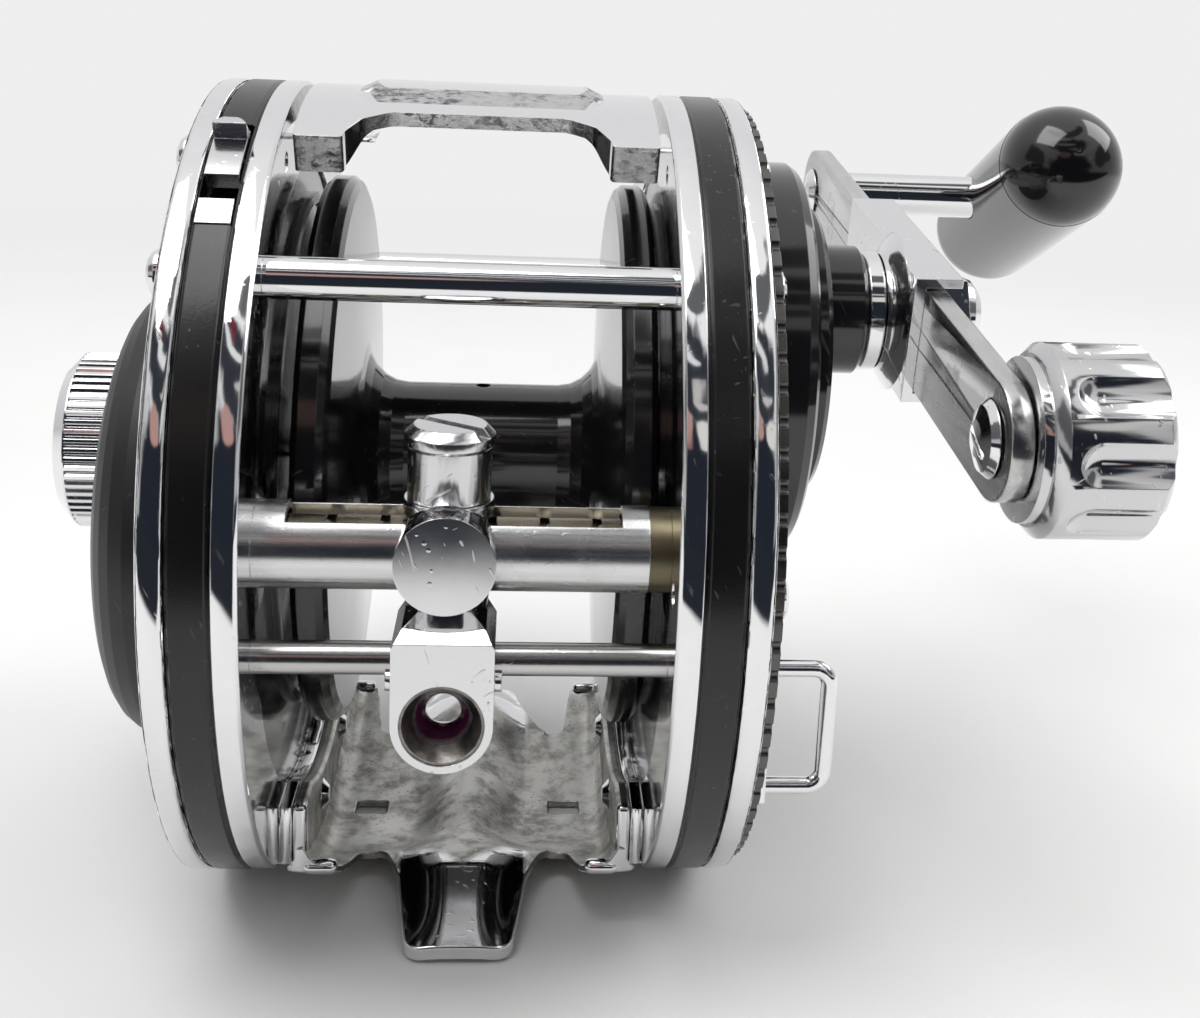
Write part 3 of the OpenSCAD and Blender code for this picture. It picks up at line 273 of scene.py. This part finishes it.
def ring_insert():
    """The line ring: a grey metal mouth that runs into a polished purple bore."""
    t = Tree("ring_ceramic")
    place = t.add("ShaderNodeSeparateXYZ")
    t.put(place.inputs[0], t.coord)
    depth = t.math("ADD", place.outputs["Y"], t.span(t.noise(300.0, 3.0), 0.3, 0.7, -0.0002, 0.0002))
    bore = t.span(depth, RING_MOUTH, RING_MOUTH + 0.0006)
    worn = t.span(t.noise(700.0, 4.0, 0.6), 0.4, 0.7)
    metal = t.mix(worn, rgb(0.17, 0.16, 0.15), rgb(0.36, 0.34, 0.31))
    t.set(Base_Color=t.mix(bore, metal, rgb(0.05, 0.008, 0.032)))
    t.set(Metallic=t.math("SUBTRACT", 1.0, bore))
    t.set(Roughness=t.span(bore, 0.0, 1.0, 0.3, 0.12))
    t.bump((worn, 0.15, 0.0001), (t.scratches(), 0.2, 0.00003))
    return t.mat


RING_MOUTH = (span_mm("line_ring")[0].y + 1.5) / 1000
MATS = {
    "chrome": chrome("chrome_bright"),
    "chrome_worn": chrome("chrome_worn", 0.74, 0.08, 1.0, 1.0),
    "chrome_pitted": chrome("chrome_pitted", 0.62, 0.10, 1.4, 1.6),
    "chrome_satin": chrome("chrome_satin", 0.66, 0.17, 1.0, 0.2),
    "chrome_handled": chrome("chrome_handled", 0.70, 0.07, 1.2, 0.9),
    "chrome_clean": chrome("chrome_clean", 0.8, 0.045, 0.35, 0.1),
    "satin": brushed("satin_tube", 0.70, 0.24, (30, 900, 900)),
    "rod": brushed("satin_rod", 0.52, 0.20, (30, 900, 900), (1, 0.985, 0.96)),
    "steel": brushed("steel_parts", 0.6, 0.22, (500, 60, 500)),
    "arm": brushed("arm_plate", 0.58, 0.22, (700, 40, 700), grime=0.4),
    "brass": brushed("brass_parts", 0.50, 0.28, (400, 400, 80), (1.0, 0.82, 0.50), 0.6),
    "dark_brass": brushed("brass_tarnished", 0.16, 0.34, (400, 400, 80), (1.0, 0.86, 0.55), 0.8),
    "worm": brushed("worm_oiled", 0.24, 0.25, (60, 500, 500), (1.0, 0.88, 0.66), 0.9),
    "black": black("black_gloss"),
    "black_satin": black("black_satin", 0.009, 0.36, 0.35, 0.0, 0.25),
    "black_rim": black("black_rim", 0.005, 0.24, 0.7, 0.0, 0.2),
    "black_grip": black("black_grip", 0.005, 0.10, 0.25, 0.5),
    "dark": brushed("dark_milled", 0.13, 0.3, (300, 300, 300), (1.0, 0.96, 0.93)),
    "foot": foot_metal(),
    "cast": cast_metal(),
    "nylon": black("nylon", 0.62, 0.45, 0.2, 0.0, 0.1, (0.5, 0.48, 0.44)),
    "fibre": black("drag_fibre", 0.05, 0.6, 0.2, 0.0, 0.5),
    "purple": ring_insert(),
}

USES = {
    "chrome": "left_inner_ring right_inner_ring left_outer_ring right_outer_ring rear_pillars clutch_lever "
              "drag_collar left_plate_screws right_plate_screws foot_rivets grip_shaft cap_nut weight_rivet",
    "chrome_worn": "arm_bracket top_bridge",
    "chrome_pitted": "counterweight",
    "chrome_satin": "rim_slide rim_stop pawl_cap",
    "chrome_clean": "front_pillar tension_knob",
    "chrome_handled": "line_carriage",
    "satin": "guard_tube",
    "rod": "guide_rod",
    "steel": "gear_plate crank_post yoke_posts yoke_springs left_spool_bearing right_spool_bearing "
             "idler_stud spool_shaft clutch_yoke anti_reverse_dog gear_sleeve ratchet drag_plates",
    "worm": "worm_shaft",
    "arm": "handle_arm",
    "brass": "click_gear worm_gear pinion main_gear pawl left_worm_bush",
    "dark_brass": "right_worm_bush",
    "black": "gear_cover spool left_bearing_plate right_bearing_plate",
    "black_satin": "left_cover",
    "black_rim": "left_side_plate right_side_plate",
    "black_grip": "grip grip_caps",
    "dark": "milled_plate",
    "foot": "reel_foot",
    "nylon": "idler_gear",
    "fibre": "drag_washers",
    "purple": "line_ring",
}
for key, names in USES.items():
    for name in names.split():
        obj = nodes[name]
        obj.data.materials.clear()
        obj.data.materials.append(MATS[key])


def soften(names, width, segments=2, angle=38):
    """Rounds the sharp edges of CAD nodes."""
    for name in names.split():
        weld = nodes[name].modifiers.new("weld", "WELD")
        weld.merge_threshold = 2e-6
        edge = nodes[name].modifiers.new("edge", "BEVEL")
        edge.width = width * MM
        edge.segments = segments
        edge.limit_method = "ANGLE"
        edge.angle_limit = math.radians(angle)
        edge.harden_normals = True


# ---- mesh helpers ----
def piece(
    name, verts, faces, mats, body="frame", replaces=(),
    sharp=32, edge=0.0, choose=None,
):
    """A new piece from points in millimetres; choose gives a face's material from its centre and normal."""
    mesh = bpy.data.meshes.new(name)
    mesh.from_pydata([Vector(v) * MM for v in verts], [], faces)
    work = bmesh.new()
    work.from_mesh(mesh)
    bmesh.ops.recalc_face_normals(work, faces=work.faces)
    if choose:
        for face in work.faces:
            face.material_index = choose(face.calc_center_median() / MM, face.normal)
    work.to_mesh(mesh)
    work.free()
    mesh.shade_smooth()
    mesh.set_sharp_from_angle(angle=math.radians(sharp))
    obj = bpy.data.objects.new(name, mesh)
    bpy.context.scene.collection.objects.link(obj)
    for key in mats.split():
        mesh.materials.append(MATS[key])
    if edge:
        bevel = obj.modifiers.new("edge", "BEVEL")
        bevel.width = edge * MM
        bevel.segments = 3
        bevel.limit_method = "ANGLE"
        bevel.angle_limit = math.radians(40)
    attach(obj, body)
    if replaces:
        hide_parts(*replaces)
    return obj


def rounded(corners, steps=6):
    """A closed outline through corners (x, y, radius), each turned by an arc of its radius."""
    out = []
    n = len(corners)
    for i in range(n):
        here = Vector(corners[i][:2])
        back = (Vector(corners[i - 1][:2]) - here).normalized()
        on = (Vector(corners[(i + 1) % n][:2]) - here).normalized()
        radius = corners[i][2]
        half = back.angle(on, math.pi) / 2
        if radius <= 0 or half > 1.5:
            out.append(here)
            continue
        centre = here + (back + on).normalized() * radius / math.sin(half)
        a = here + back * radius / math.tan(half) - centre
        b = here + on * radius / math.tan(half) - centre
        turn = a.angle_signed(b)
        out += [centre + Matrix.Rotation(-turn * k / steps, 2) @ a for k in range(steps + 1)]
    return out


def subdivided(outline, step):
    """The closed outline with its long sides cut to steps."""
    out = []
    for a, b in zip(outline, outline[1:] + outline[:1]):
        n = max(1, round((b - a).length / step))
        out += [a.lerp(b, k / n) for k in range(n)]
    return out


def inside(p, outline):
    """Whether p lies inside the closed outline."""
    hit = False
    for a, b in zip(outline, outline[1:] + outline[:1]):
        if (a.y > p.y) != (b.y > p.y) and p.x < (b.x - a.x) * (p.y - a.y) / (b.y - a.y) + a.x:
            hit = not hit
    return hit


def near(p, outline, limit):
    """Whether p is closer than limit to the outline's sides."""
    for a, b in zip(outline, outline[1:] + outline[:1]):
        side = b - a
        k = min(1.0, max(0.0, (p - a).dot(side) / max(side.length_squared, 1e-12)))
        if (a + side * k - p).length < limit:
            return True
    return False


def fill(outline, holes=(), creases=(), step=0.8):
    """Points and triangles that fill the outline less its holes, with the creases kept as edges."""
    loops = [subdivided(loop, step) for loop in [outline, *holes, *creases]]
    points = [p for loop in loops for p in loop]
    edges = []
    at = 0
    for loop in loops:
        edges += [(at + i, at + (i + 1) % len(loop)) for i in range(len(loop))]
        at += len(loop)
    low = Vector((min(p.x for p in outline), min(p.y for p in outline)))
    high = Vector((max(p.x for p in outline), max(p.y for p in outline)))
    for j in range(int((high.y - low.y) / step) + 1):
        for i in range(int((high.x - low.x) / step) + 1):
            p = low + Vector(((i + 0.5 * (j % 2)) * step, j * step))
            if inside(p, outline) and not any(near(p, loop, step * 0.55) for loop in loops):
                points.append(p)
    flat, _, faces, *_ = delaunay_2d_cdt(points, edges, [], 0, 1e-5)
    keep = []
    for face in faces:
        centre = (flat[face[0]] + flat[face[1]] + flat[face[2]]) / 3
        if inside(centre, outline) and not any(inside(centre, hole) for hole in holes):
            keep.append(tuple(face))
    return flat, keep


def shell(flat, faces, top, under):
    """A closed skin between two surfaces over the same flat points."""
    n = len(flat)
    verts = [top(p) for p in flat] + [under(p) for p in flat]
    sides = {}
    for face in faces:
        for a, b in zip(face, face[1:] + face[:1]):
            sides[(a, b)] = True
    rim = [(a, b) for a, b in sides if (b, a) not in sides]
    skin = list(faces) + [tuple(n + k for k in reversed(face)) for face in faces]
    return verts, skin + [(b, a, n + a, n + b) for a, b in rim]


def ease(x, lo, hi):
    """0 below lo, 1 above hi, and smooth between them."""
    k = min(1.0, max(0.0, (x - lo) / (hi - lo)))
    return k * k * (3 - 2 * k)


def mirrored(quarter):
    """A closed outline from a quarter that runs from the x axis to the y axis."""
    turned = [(x, y, r) for x, y, r in reversed(quarter) if x > 0]
    right = quarter + [(-x, y, r) for x, y, r in turned]
    return right + [(-x, -y, r) for x, y, r in quarter if y > 0] + [(x, -y, r) for x, y, r in turned if y > 0]


# ---- the foot ----
PAN_R = 50.0
PAN_T = 0.9
FOOT_END = span_mm("reel_foot")[1].y
WALL_IN, WALL_OUT = 17.3, 18.9
WALL_END = 22.9
TONGUE_X = 10
SLOPE_Y = 21.2
SLOT_AT = (12.2, -0.6)
SLOT_W, SLOT_L = 1.95, 1.5


def pan_z(y):
    return PAN_R + PAN_T - math.sqrt(PAN_R * PAN_R - y * y)


def foot_top(p):
    """Upper face: a pan bent about X that folds up to the walls, with a crowned tongue along the middle."""
    side, front = abs(p.x), abs(p.y)
    if side > TONGUE_X:
        fold = min(1.0, max(0.0, (side - WALL_IN + 2.2) / 2.2)) if side < WALL_OUT else 0.0
        return Vector((p.x, p.y, pan_z(min(front, 24.0)) + 2.2 * (1 - math.sqrt(1 - fold * fold))))
    crown = 4.5 + 1.3 * ease(front, 11, 20)
    crown -= 3.8 * max(0.0, (front - SLOPE_Y) / (FOOT_END - SLOPE_Y))
    half = 7.6 - 1.8 * ease(front, 15, 29)
    low = pan_z(min(front, 15.5))
    low += (1.5 - low) * ease(front, 16, FOOT_END)
    u = min(1.0, side / half)
    soft = 0.5 + 0.5 * math.cos(math.pi * u)
    round_top = 1 - 0.75 * max(0.0, (u - 0.28) / 0.72) ** 1.7
    return Vector((p.x, p.y, low + (crown - low) * (soft + (round_top - soft) * ease(front, 11, 18))))


def foot_under(p):
    """Lower face: the pan's underside, hollow under the tongue but for the web in the middle."""
    side, front = abs(p.x), abs(p.y)
    top = foot_top(p).z
    if side > TONGUE_X:
        return Vector((p.x, p.y, pan_z(min(front, 24.0)) - PAN_T))
    z = max(0.0, top - PAN_T - 0.7 * (1 - ease(side, 6.0, 8.0)))
    web = (1 - ease(front, 3.6, 4.4)) * (1 - ease(side, 5.4, 6.0))
    return Vector((p.x, p.y, z * (1 - web)))


def foot():
    quarter = [
        (19.9, 0, 0), (19.9, 23.4, 3.0), (13.6, 23.4, 1.6), (12.3, 14.8, 1.4), (9.3, 15.2, 2.2),
        (7.3, 20.5, 8.0), (5.7, FOOT_END, 2.2),
    ]
    outline = rounded(mirrored(quarter))
    slots = []
    for s in (-1, 1):
        cx, cy = s * SLOT_AT[0], SLOT_AT[1]
        corners = ((-SLOT_W, -SLOT_L), (SLOT_W, -SLOT_L), (SLOT_W, SLOT_L), (-SLOT_W, SLOT_L))
        slots.append(rounded([(cx + a, cy + b, 0.35) for a, b in corners], 3))
    flat, faces = fill(outline, slots, (), 0.75)
    verts, skin = shell(flat, faces, foot_top, foot_under)
    piece("foot_sheet", verts, skin, "foot", replaces=("reel_foot",), edge=0.3)
    for s in (-1, 1):
        foot_wall(s)
        for f in (-1, 1):
            foot_hem(s, f)


def foot_wall(s):
    """Side wall with rounded ends, its upper edge cut to an arc about the reel's axis."""
    n = 48
    verts, faces = [], []
    for i in range(n + 1):
        y = -WALL_END + 2 * WALL_END * i / n
        base = pan_z(y) - 0.5
        crest = min(AXIS_H - 32.4, AXIS_H - math.sqrt(max(0.0, 36.6 ** 2 - y * y)))
        a, b = max(0.02, base) + 0.4, max(crest, base + 2.0)
        verts += [(s * WALL_IN, y, a), (s * WALL_OUT, y, a), (s * WALL_OUT, y, b), (s * WALL_IN, y, b)]
    for i in range(n):
        for k in range(4):
            j = (k + 1) % 4
            faces.append((4 * i + k, 4 * i + j, 4 * i + 4 + j, 4 * i + 4 + k))
    faces += [(3, 2, 1, 0), tuple(4 * n + k for k in range(4))]
    name = "foot_wall_right" if s > 0 else "foot_wall_left"
    piece(name, verts, faces, "foot", edge=0.5)


def foot_hem(s, f):
    """The sheet's front edge rolled up beside the wall, an open curl with a rounded lip."""
    cy, cz = 22.75, pan_z(22.7) - 0.1
    outer = [(math.radians(a), 0.92) for a in range(-80, 200, 14)]
    inner = [(a, 0.5) for a, _ in reversed(outer)]
    ring = [(cy + r * math.cos(a), cz + r * math.sin(a) * 0.95) for a, r in outer + inner]
    xs = [13.9, 14.15, 14.6, 16.9, 17.35, 17.6]
    shrink = [0.55, 0.85, 1.0, 1.0, 0.85, 0.55]
    verts, faces = [], []
    for x, k in zip(xs, shrink):
        verts += [(s * x, f * (cy + (y - cy) * k), cz + (z - cz) * k) for y, z in ring]
    n = len(ring)
    for i in range(len(xs) - 1):
        for k in range(n):
            j = (k + 1) % n
            faces.append((n * i + k, n * i + j, n * i + n + j, n * i + n + k))
    faces += [tuple(reversed(range(n))), tuple(n * (len(xs) - 1) + k for k in range(n))]
    name = "foot_hem_" + ("right" if s > 0 else "left") + ("_rear" if f > 0 else "_front")
    piece(name, verts, faces, "foot", sharp=50)


# ---- the top bridge ----
BRIDGE_R = RING_R - 0.15
PAD_RISE = 0.75


def bent(x, s, r):
    """A point of the bridge: s runs round the reel from the top, r is the distance from its axis."""
    a = math.pi / 2 - s / BRIDGE_R
    return Vector((x, -r * math.cos(a), AXIS_H + r * math.sin(a)))


def arc_s(degrees):
    return math.radians(90 - degrees) * BRIDGE_R


PAD = rounded(mirrored([(13.6, 0, 0), (13.6, arc_s(83), 0.3), (11.3, arc_s(77), 0.6)]))
PAD_TOP = rounded(mirrored([(11.9, 0, 0), (11.9, arc_s(86), 0.3), (10.7, arc_s(81.5), 0.4)]))


def bridge_top(p):
    r = BRIDGE_R
    if inside(p, PAD_TOP):
        r += PAD_RISE + 0.05 * noise.noise(Vector((p.x * 1.1, p.y * 2.2, 3.0)))
    elif inside(p, PAD):
        out = min(1.0, max(abs(p.x) - 11.9, 0) / 1.7) if abs(p.x) > 11.6 else 0.0
        out = max(out, min(1.0, max(abs(p.y) - arc_s(81.5), 0) / (arc_s(77) - arc_s(81.5))))
        r += PAD_RISE * (1 - out) * (1 + 0.25 * noise.noise(Vector((p.x * 1.7, p.y * 3.0, 0.0))))
    return bent(p.x, p.y, r)


def bridge_under(p):
    side = abs(p.x)
    deep = 1.6 + 2.7 * ease(side, 11.2, 14.4)
    return bent(p.x, p.y, BRIDGE_R - deep)


def bridge():
    a0 = arc_s(65)
    quarter = [
        (INNER_X + 0.2, 0, 0), (INNER_X + 0.2, a0, 0.5), (14.0, a0, 0.5), (13.9, arc_s(66.6), 0.6),
        (12.4, arc_s(70.4), 2.0), (9.4, arc_s(73), 2.4), (0, arc_s(73), 0),
    ]
    outline = rounded(mirrored(quarter))
    flat, faces = fill(outline, (), (PAD, PAD_TOP), 0.7)
    verts, skin = shell(flat, faces, bridge_top, bridge_under)

    def rough(at, normal):
        s = (math.pi / 2 - math.atan2(at.z - AXIS_H, -at.y)) * BRIDGE_R
        high = math.hypot(at.y, at.z - AXIS_H) > BRIDGE_R - 0.05
        slope = inside(Vector((at.x, s)), PAD) and not inside(Vector((at.x, s)), PAD_TOP)
        end = not high and abs(s) > a0 - 0.3 and abs(at.x) > 13
        front = not high and abs(at.x) < 14 and abs(s) > arc_s(73) - 0.25 and abs(normal.y) > 0.5
        return 1 if (high and slope) or end or front else 0

    piece(
        "bridge_casting", verts, skin, "chrome_clean cast", replaces=("top_bridge",),
        sharp=13, edge=0.3, choose=rough,
    )


# ---- floor, light, camera ----
def floor():
    """Pale paper that runs out of sight; polished metal sees it only as far as the bench's edge."""
    mesh = bpy.data.meshes.new("floor")
    n, size = 24, 1.6
    z = (ring_low.z - 0.15) * MM
    row = n + 1
    steps = [size * (i / n - 0.5) * 2 for i in range(row)]
    verts = [(x, y + 0.2, z) for y in steps for x in steps]
    cells = [(i, j) for j in range(n) for i in range(n)]
    faces = [(j * row + i, j * row + i + 1, (j + 1) * row + i + 1, (j + 1) * row + i) for i, j in cells]
    mesh.from_pydata(verts, [], faces)
    obj = bpy.data.objects.new("floor", mesh)
    bpy.context.scene.collection.objects.link(obj)
    t = Tree("floor_paper")
    tone = t.span(t.noise(9.0, 3.0), 0.3, 0.7, 0.85, 0.90)
    mix = t.add("ShaderNodeCombineColor")
    for i, k in enumerate((1.0, 0.998, 0.99)):
        t.put(mix.inputs[i], t.math("MULTIPLY", tone, k))
    t.set(Base_Color=mix.outputs[0], Roughness=0.7)
    t.bump((t.noise(14.0, 3.0), 0.15, 0.004))
    split = t.add("ShaderNodeSeparateXYZ")
    t.put(split.inputs[0], t.coord)
    path = t.add("ShaderNodeLightPath")
    square_x = t.math("POWER", split.outputs["X"], 2.0)
    square_y = t.math("POWER", split.outputs["Y"], 2.0)
    away = t.math("SQRT", t.math("ADD", square_x, square_y))
    paper = t.add("ShaderNodeEmission")
    paper.inputs["Color"].default_value = rgb(0.86, 0.86, 0.865)
    gloom = t.add("ShaderNodeEmission")
    gloom.inputs["Color"].default_value = rgb(0.02, 0.024, 0.032)
    haze = t.math("MULTIPLY", t.span(away, 0.24, 0.62), path.outputs["Is Camera Ray"])
    beyond = t.math("MULTIPLY", t.span(split.outputs["Y"], -0.16, -0.18), path.outputs["Is Glossy Ray"])
    last = t.shader.outputs[0]
    for factor, other in ((haze, paper), (beyond, gloom)):
        blend = t.add("ShaderNodeMixShader")
        t.put(blend.inputs[0], factor)
        t.put(blend.inputs[1], last)
        t.put(blend.inputs[2], other.outputs[0])
        last = blend.outputs[0]
    out = next(node for node in t.nt.nodes if node.type == "OUTPUT_MATERIAL")
    t.put(out.inputs[0], last)
    obj.data.materials.append(t.mat)


def area(name, at, aim, size, power):
    data = bpy.data.lights.new(name, "AREA")
    data.shape = "RECTANGLE"
    data.size, data.size_y = size
    data.energy = power
    obj = bpy.data.objects.new(name, data)
    obj.location = at
    obj.rotation_euler = (Vector(aim) - Vector(at)).to_track_quat("-Z", "Y").to_euler()
    bpy.context.scene.collection.objects.link(obj)


def world():
    """Bright overhead and behind, a dark room in front, and white where the camera looks past the object."""
    w = bpy.data.worlds.new("studio")
    bpy.context.scene.world = w
    w.use_nodes = True
    nt = w.node_tree
    nt.nodes.clear()

    def put(socket, value):
        if isinstance(value, bpy.types.NodeSocket):
            nt.links.new(value, socket)
        else:
            socket.default_value = value

    def calc(kind, a, b=0.0):
        node = nt.nodes.new("ShaderNodeMath")
        node.operation = kind
        put(node.inputs[0], a)
        put(node.inputs[1], b)
        return node.outputs[0]

    def span(value, lo, hi, to_lo=0.0, to_hi=1.0):
        node = nt.nodes.new("ShaderNodeMapRange")
        node.interpolation_type = "SMOOTHSTEP"
        for i, number in enumerate((value, lo, hi, to_lo, to_hi)):
            put(node.inputs[i], number)
        return node.outputs[0]

    def mix(factor, a, b):
        node = nt.nodes.new("ShaderNodeMix")
        node.data_type = "RGBA"
        put(node.inputs[0], factor)
        put(node.inputs[6], a)
        put(node.inputs[7], b)
        return node.outputs[2]

    coord = nt.nodes.new("ShaderNodeTexCoord")
    split = nt.nodes.new("ShaderNodeSeparateXYZ")
    nt.links.new(coord.outputs["Generated"], split.inputs[0])
    x, y, z = split.outputs
    cloud = nt.nodes.new("ShaderNodeTexNoise")
    cloud.inputs["Scale"].default_value = 7.0
    cloud.inputs["Detail"].default_value = 3.0
    nt.links.new(coord.outputs["Generated"], cloud.inputs["Vector"])
    ragged = calc("MULTIPLY", calc("SUBTRACT", cloud.outputs[0], 0.5), 0.7)

    def patch(at_x, at_z, half_x, half_z, lo=0.85, hi=1.15):
        """1 inside an oval of the front half of the sky, 0 outside it."""
        u = calc("DIVIDE", calc("SUBTRACT", x, at_x), half_x)
        v = calc("DIVIDE", calc("SUBTRACT", z, at_z), half_z)
        far = calc("SQRT", calc("ADD", calc("MULTIPLY", u, u), calc("MULTIPLY", v, v)))
        far = calc("ADD", far, ragged)
        return calc("MULTIPLY", span(far, lo, hi, 1.0, 0.0), span(y, -0.05, 0.05, 1.0, 0.0))

    sky = mix(span(z, 0.15, 0.95), rgb(0.50, 0.50, 0.51), rgb(1.0, 1.0, 1.0))
    sky = mix(span(y, -0.1, 0.9), sky, rgb(0.82, 0.82, 0.83))
    sky = mix(patch(0.0, 0.10, 0.62, 0.44), sky, rgb(0.018, 0.022, 0.032))
    for s in (-1, 1):
        sky = mix(calc("MULTIPLY", patch(s * 0.86, 0.34, 0.15, 0.26), 0.85), sky, rgb(0.05, 0.052, 0.058))
    sky = mix(patch(0.0, 0.68, 0.52, 0.16), sky, rgb(0.035, 0.04, 0.05))
    sky = mix(calc("MULTIPLY", patch(0.0, 0.92, 0.5, 0.045), 0.95), sky, rgb(0.09, 0.095, 0.10))
    sky = mix(patch(-0.17, 0.47, 0.16, 0.08), sky, rgb(0.50, 0.30, 0.27))
    sky = mix(patch(0.30, 0.50, 0.20, 0.06), sky, rgb(0.75, 0.76, 0.72))
    sky = mix(patch(-0.10, 0.74, 0.30, 0.022), sky, rgb(0.85, 0.85, 0.86))
    sky = mix(patch(0.16, 0.63, 0.20, 0.018), sky, rgb(0.60, 0.58, 0.56))
    sky = mix(patch(-0.24, 0.80, 0.12, 0.03), sky, rgb(0.16, 0.02, 0.035))
    light = nt.nodes.new("ShaderNodeLightPath")
    back = nt.nodes.new("ShaderNodeBackground")
    put(back.inputs[0], mix(light.outputs["Is Camera Ray"], sky, rgb(0.86, 0.86, 0.865)))
    out = nt.nodes.new("ShaderNodeOutputWorld")
    nt.links.new(back.outputs[0], out.inputs[0])


def camera():
    data = bpy.data.cameras.new("camera")
    data.lens, data.sensor_width = 45.0, 36.0
    data.shift_x, data.shift_y = -0.033, -0.149
    data.clip_start, data.clip_end = 0.005, 10.0
    obj = bpy.data.objects.new("camera", data)
    turn = Matrix.Rotation(math.radians(-4.8), 4, "Z") @ Matrix.Rotation(math.radians(90 - 12.04), 4, "X")
    roll = Matrix.Rotation(math.radians(2.59), 4, "Z")
    obj.matrix_world = Matrix.Translation((0.00448, -0.1767, 0.10171)) @ turn @ roll
    bpy.context.scene.collection.objects.link(obj)
    bpy.context.scene.camera = obj


foot()
bridge()
soften("left_inner_ring right_inner_ring left_outer_ring right_outer_ring", 0.3)
soften("line_carriage pawl_cap arm_bracket handle_arm counterweight", 0.25)
floor()
world()
camera()
area("key_light", (-0.25, -0.15, 0.75), (0, 0, 0.04), (0.5, 0.5), 3.0)
area("fill_light", (0.55, 0.1, 0.5), (0, 0, 0.04), (0.4, 0.4), 1.4)
bpy.context.scene.view_settings.view_transform = "Standard"
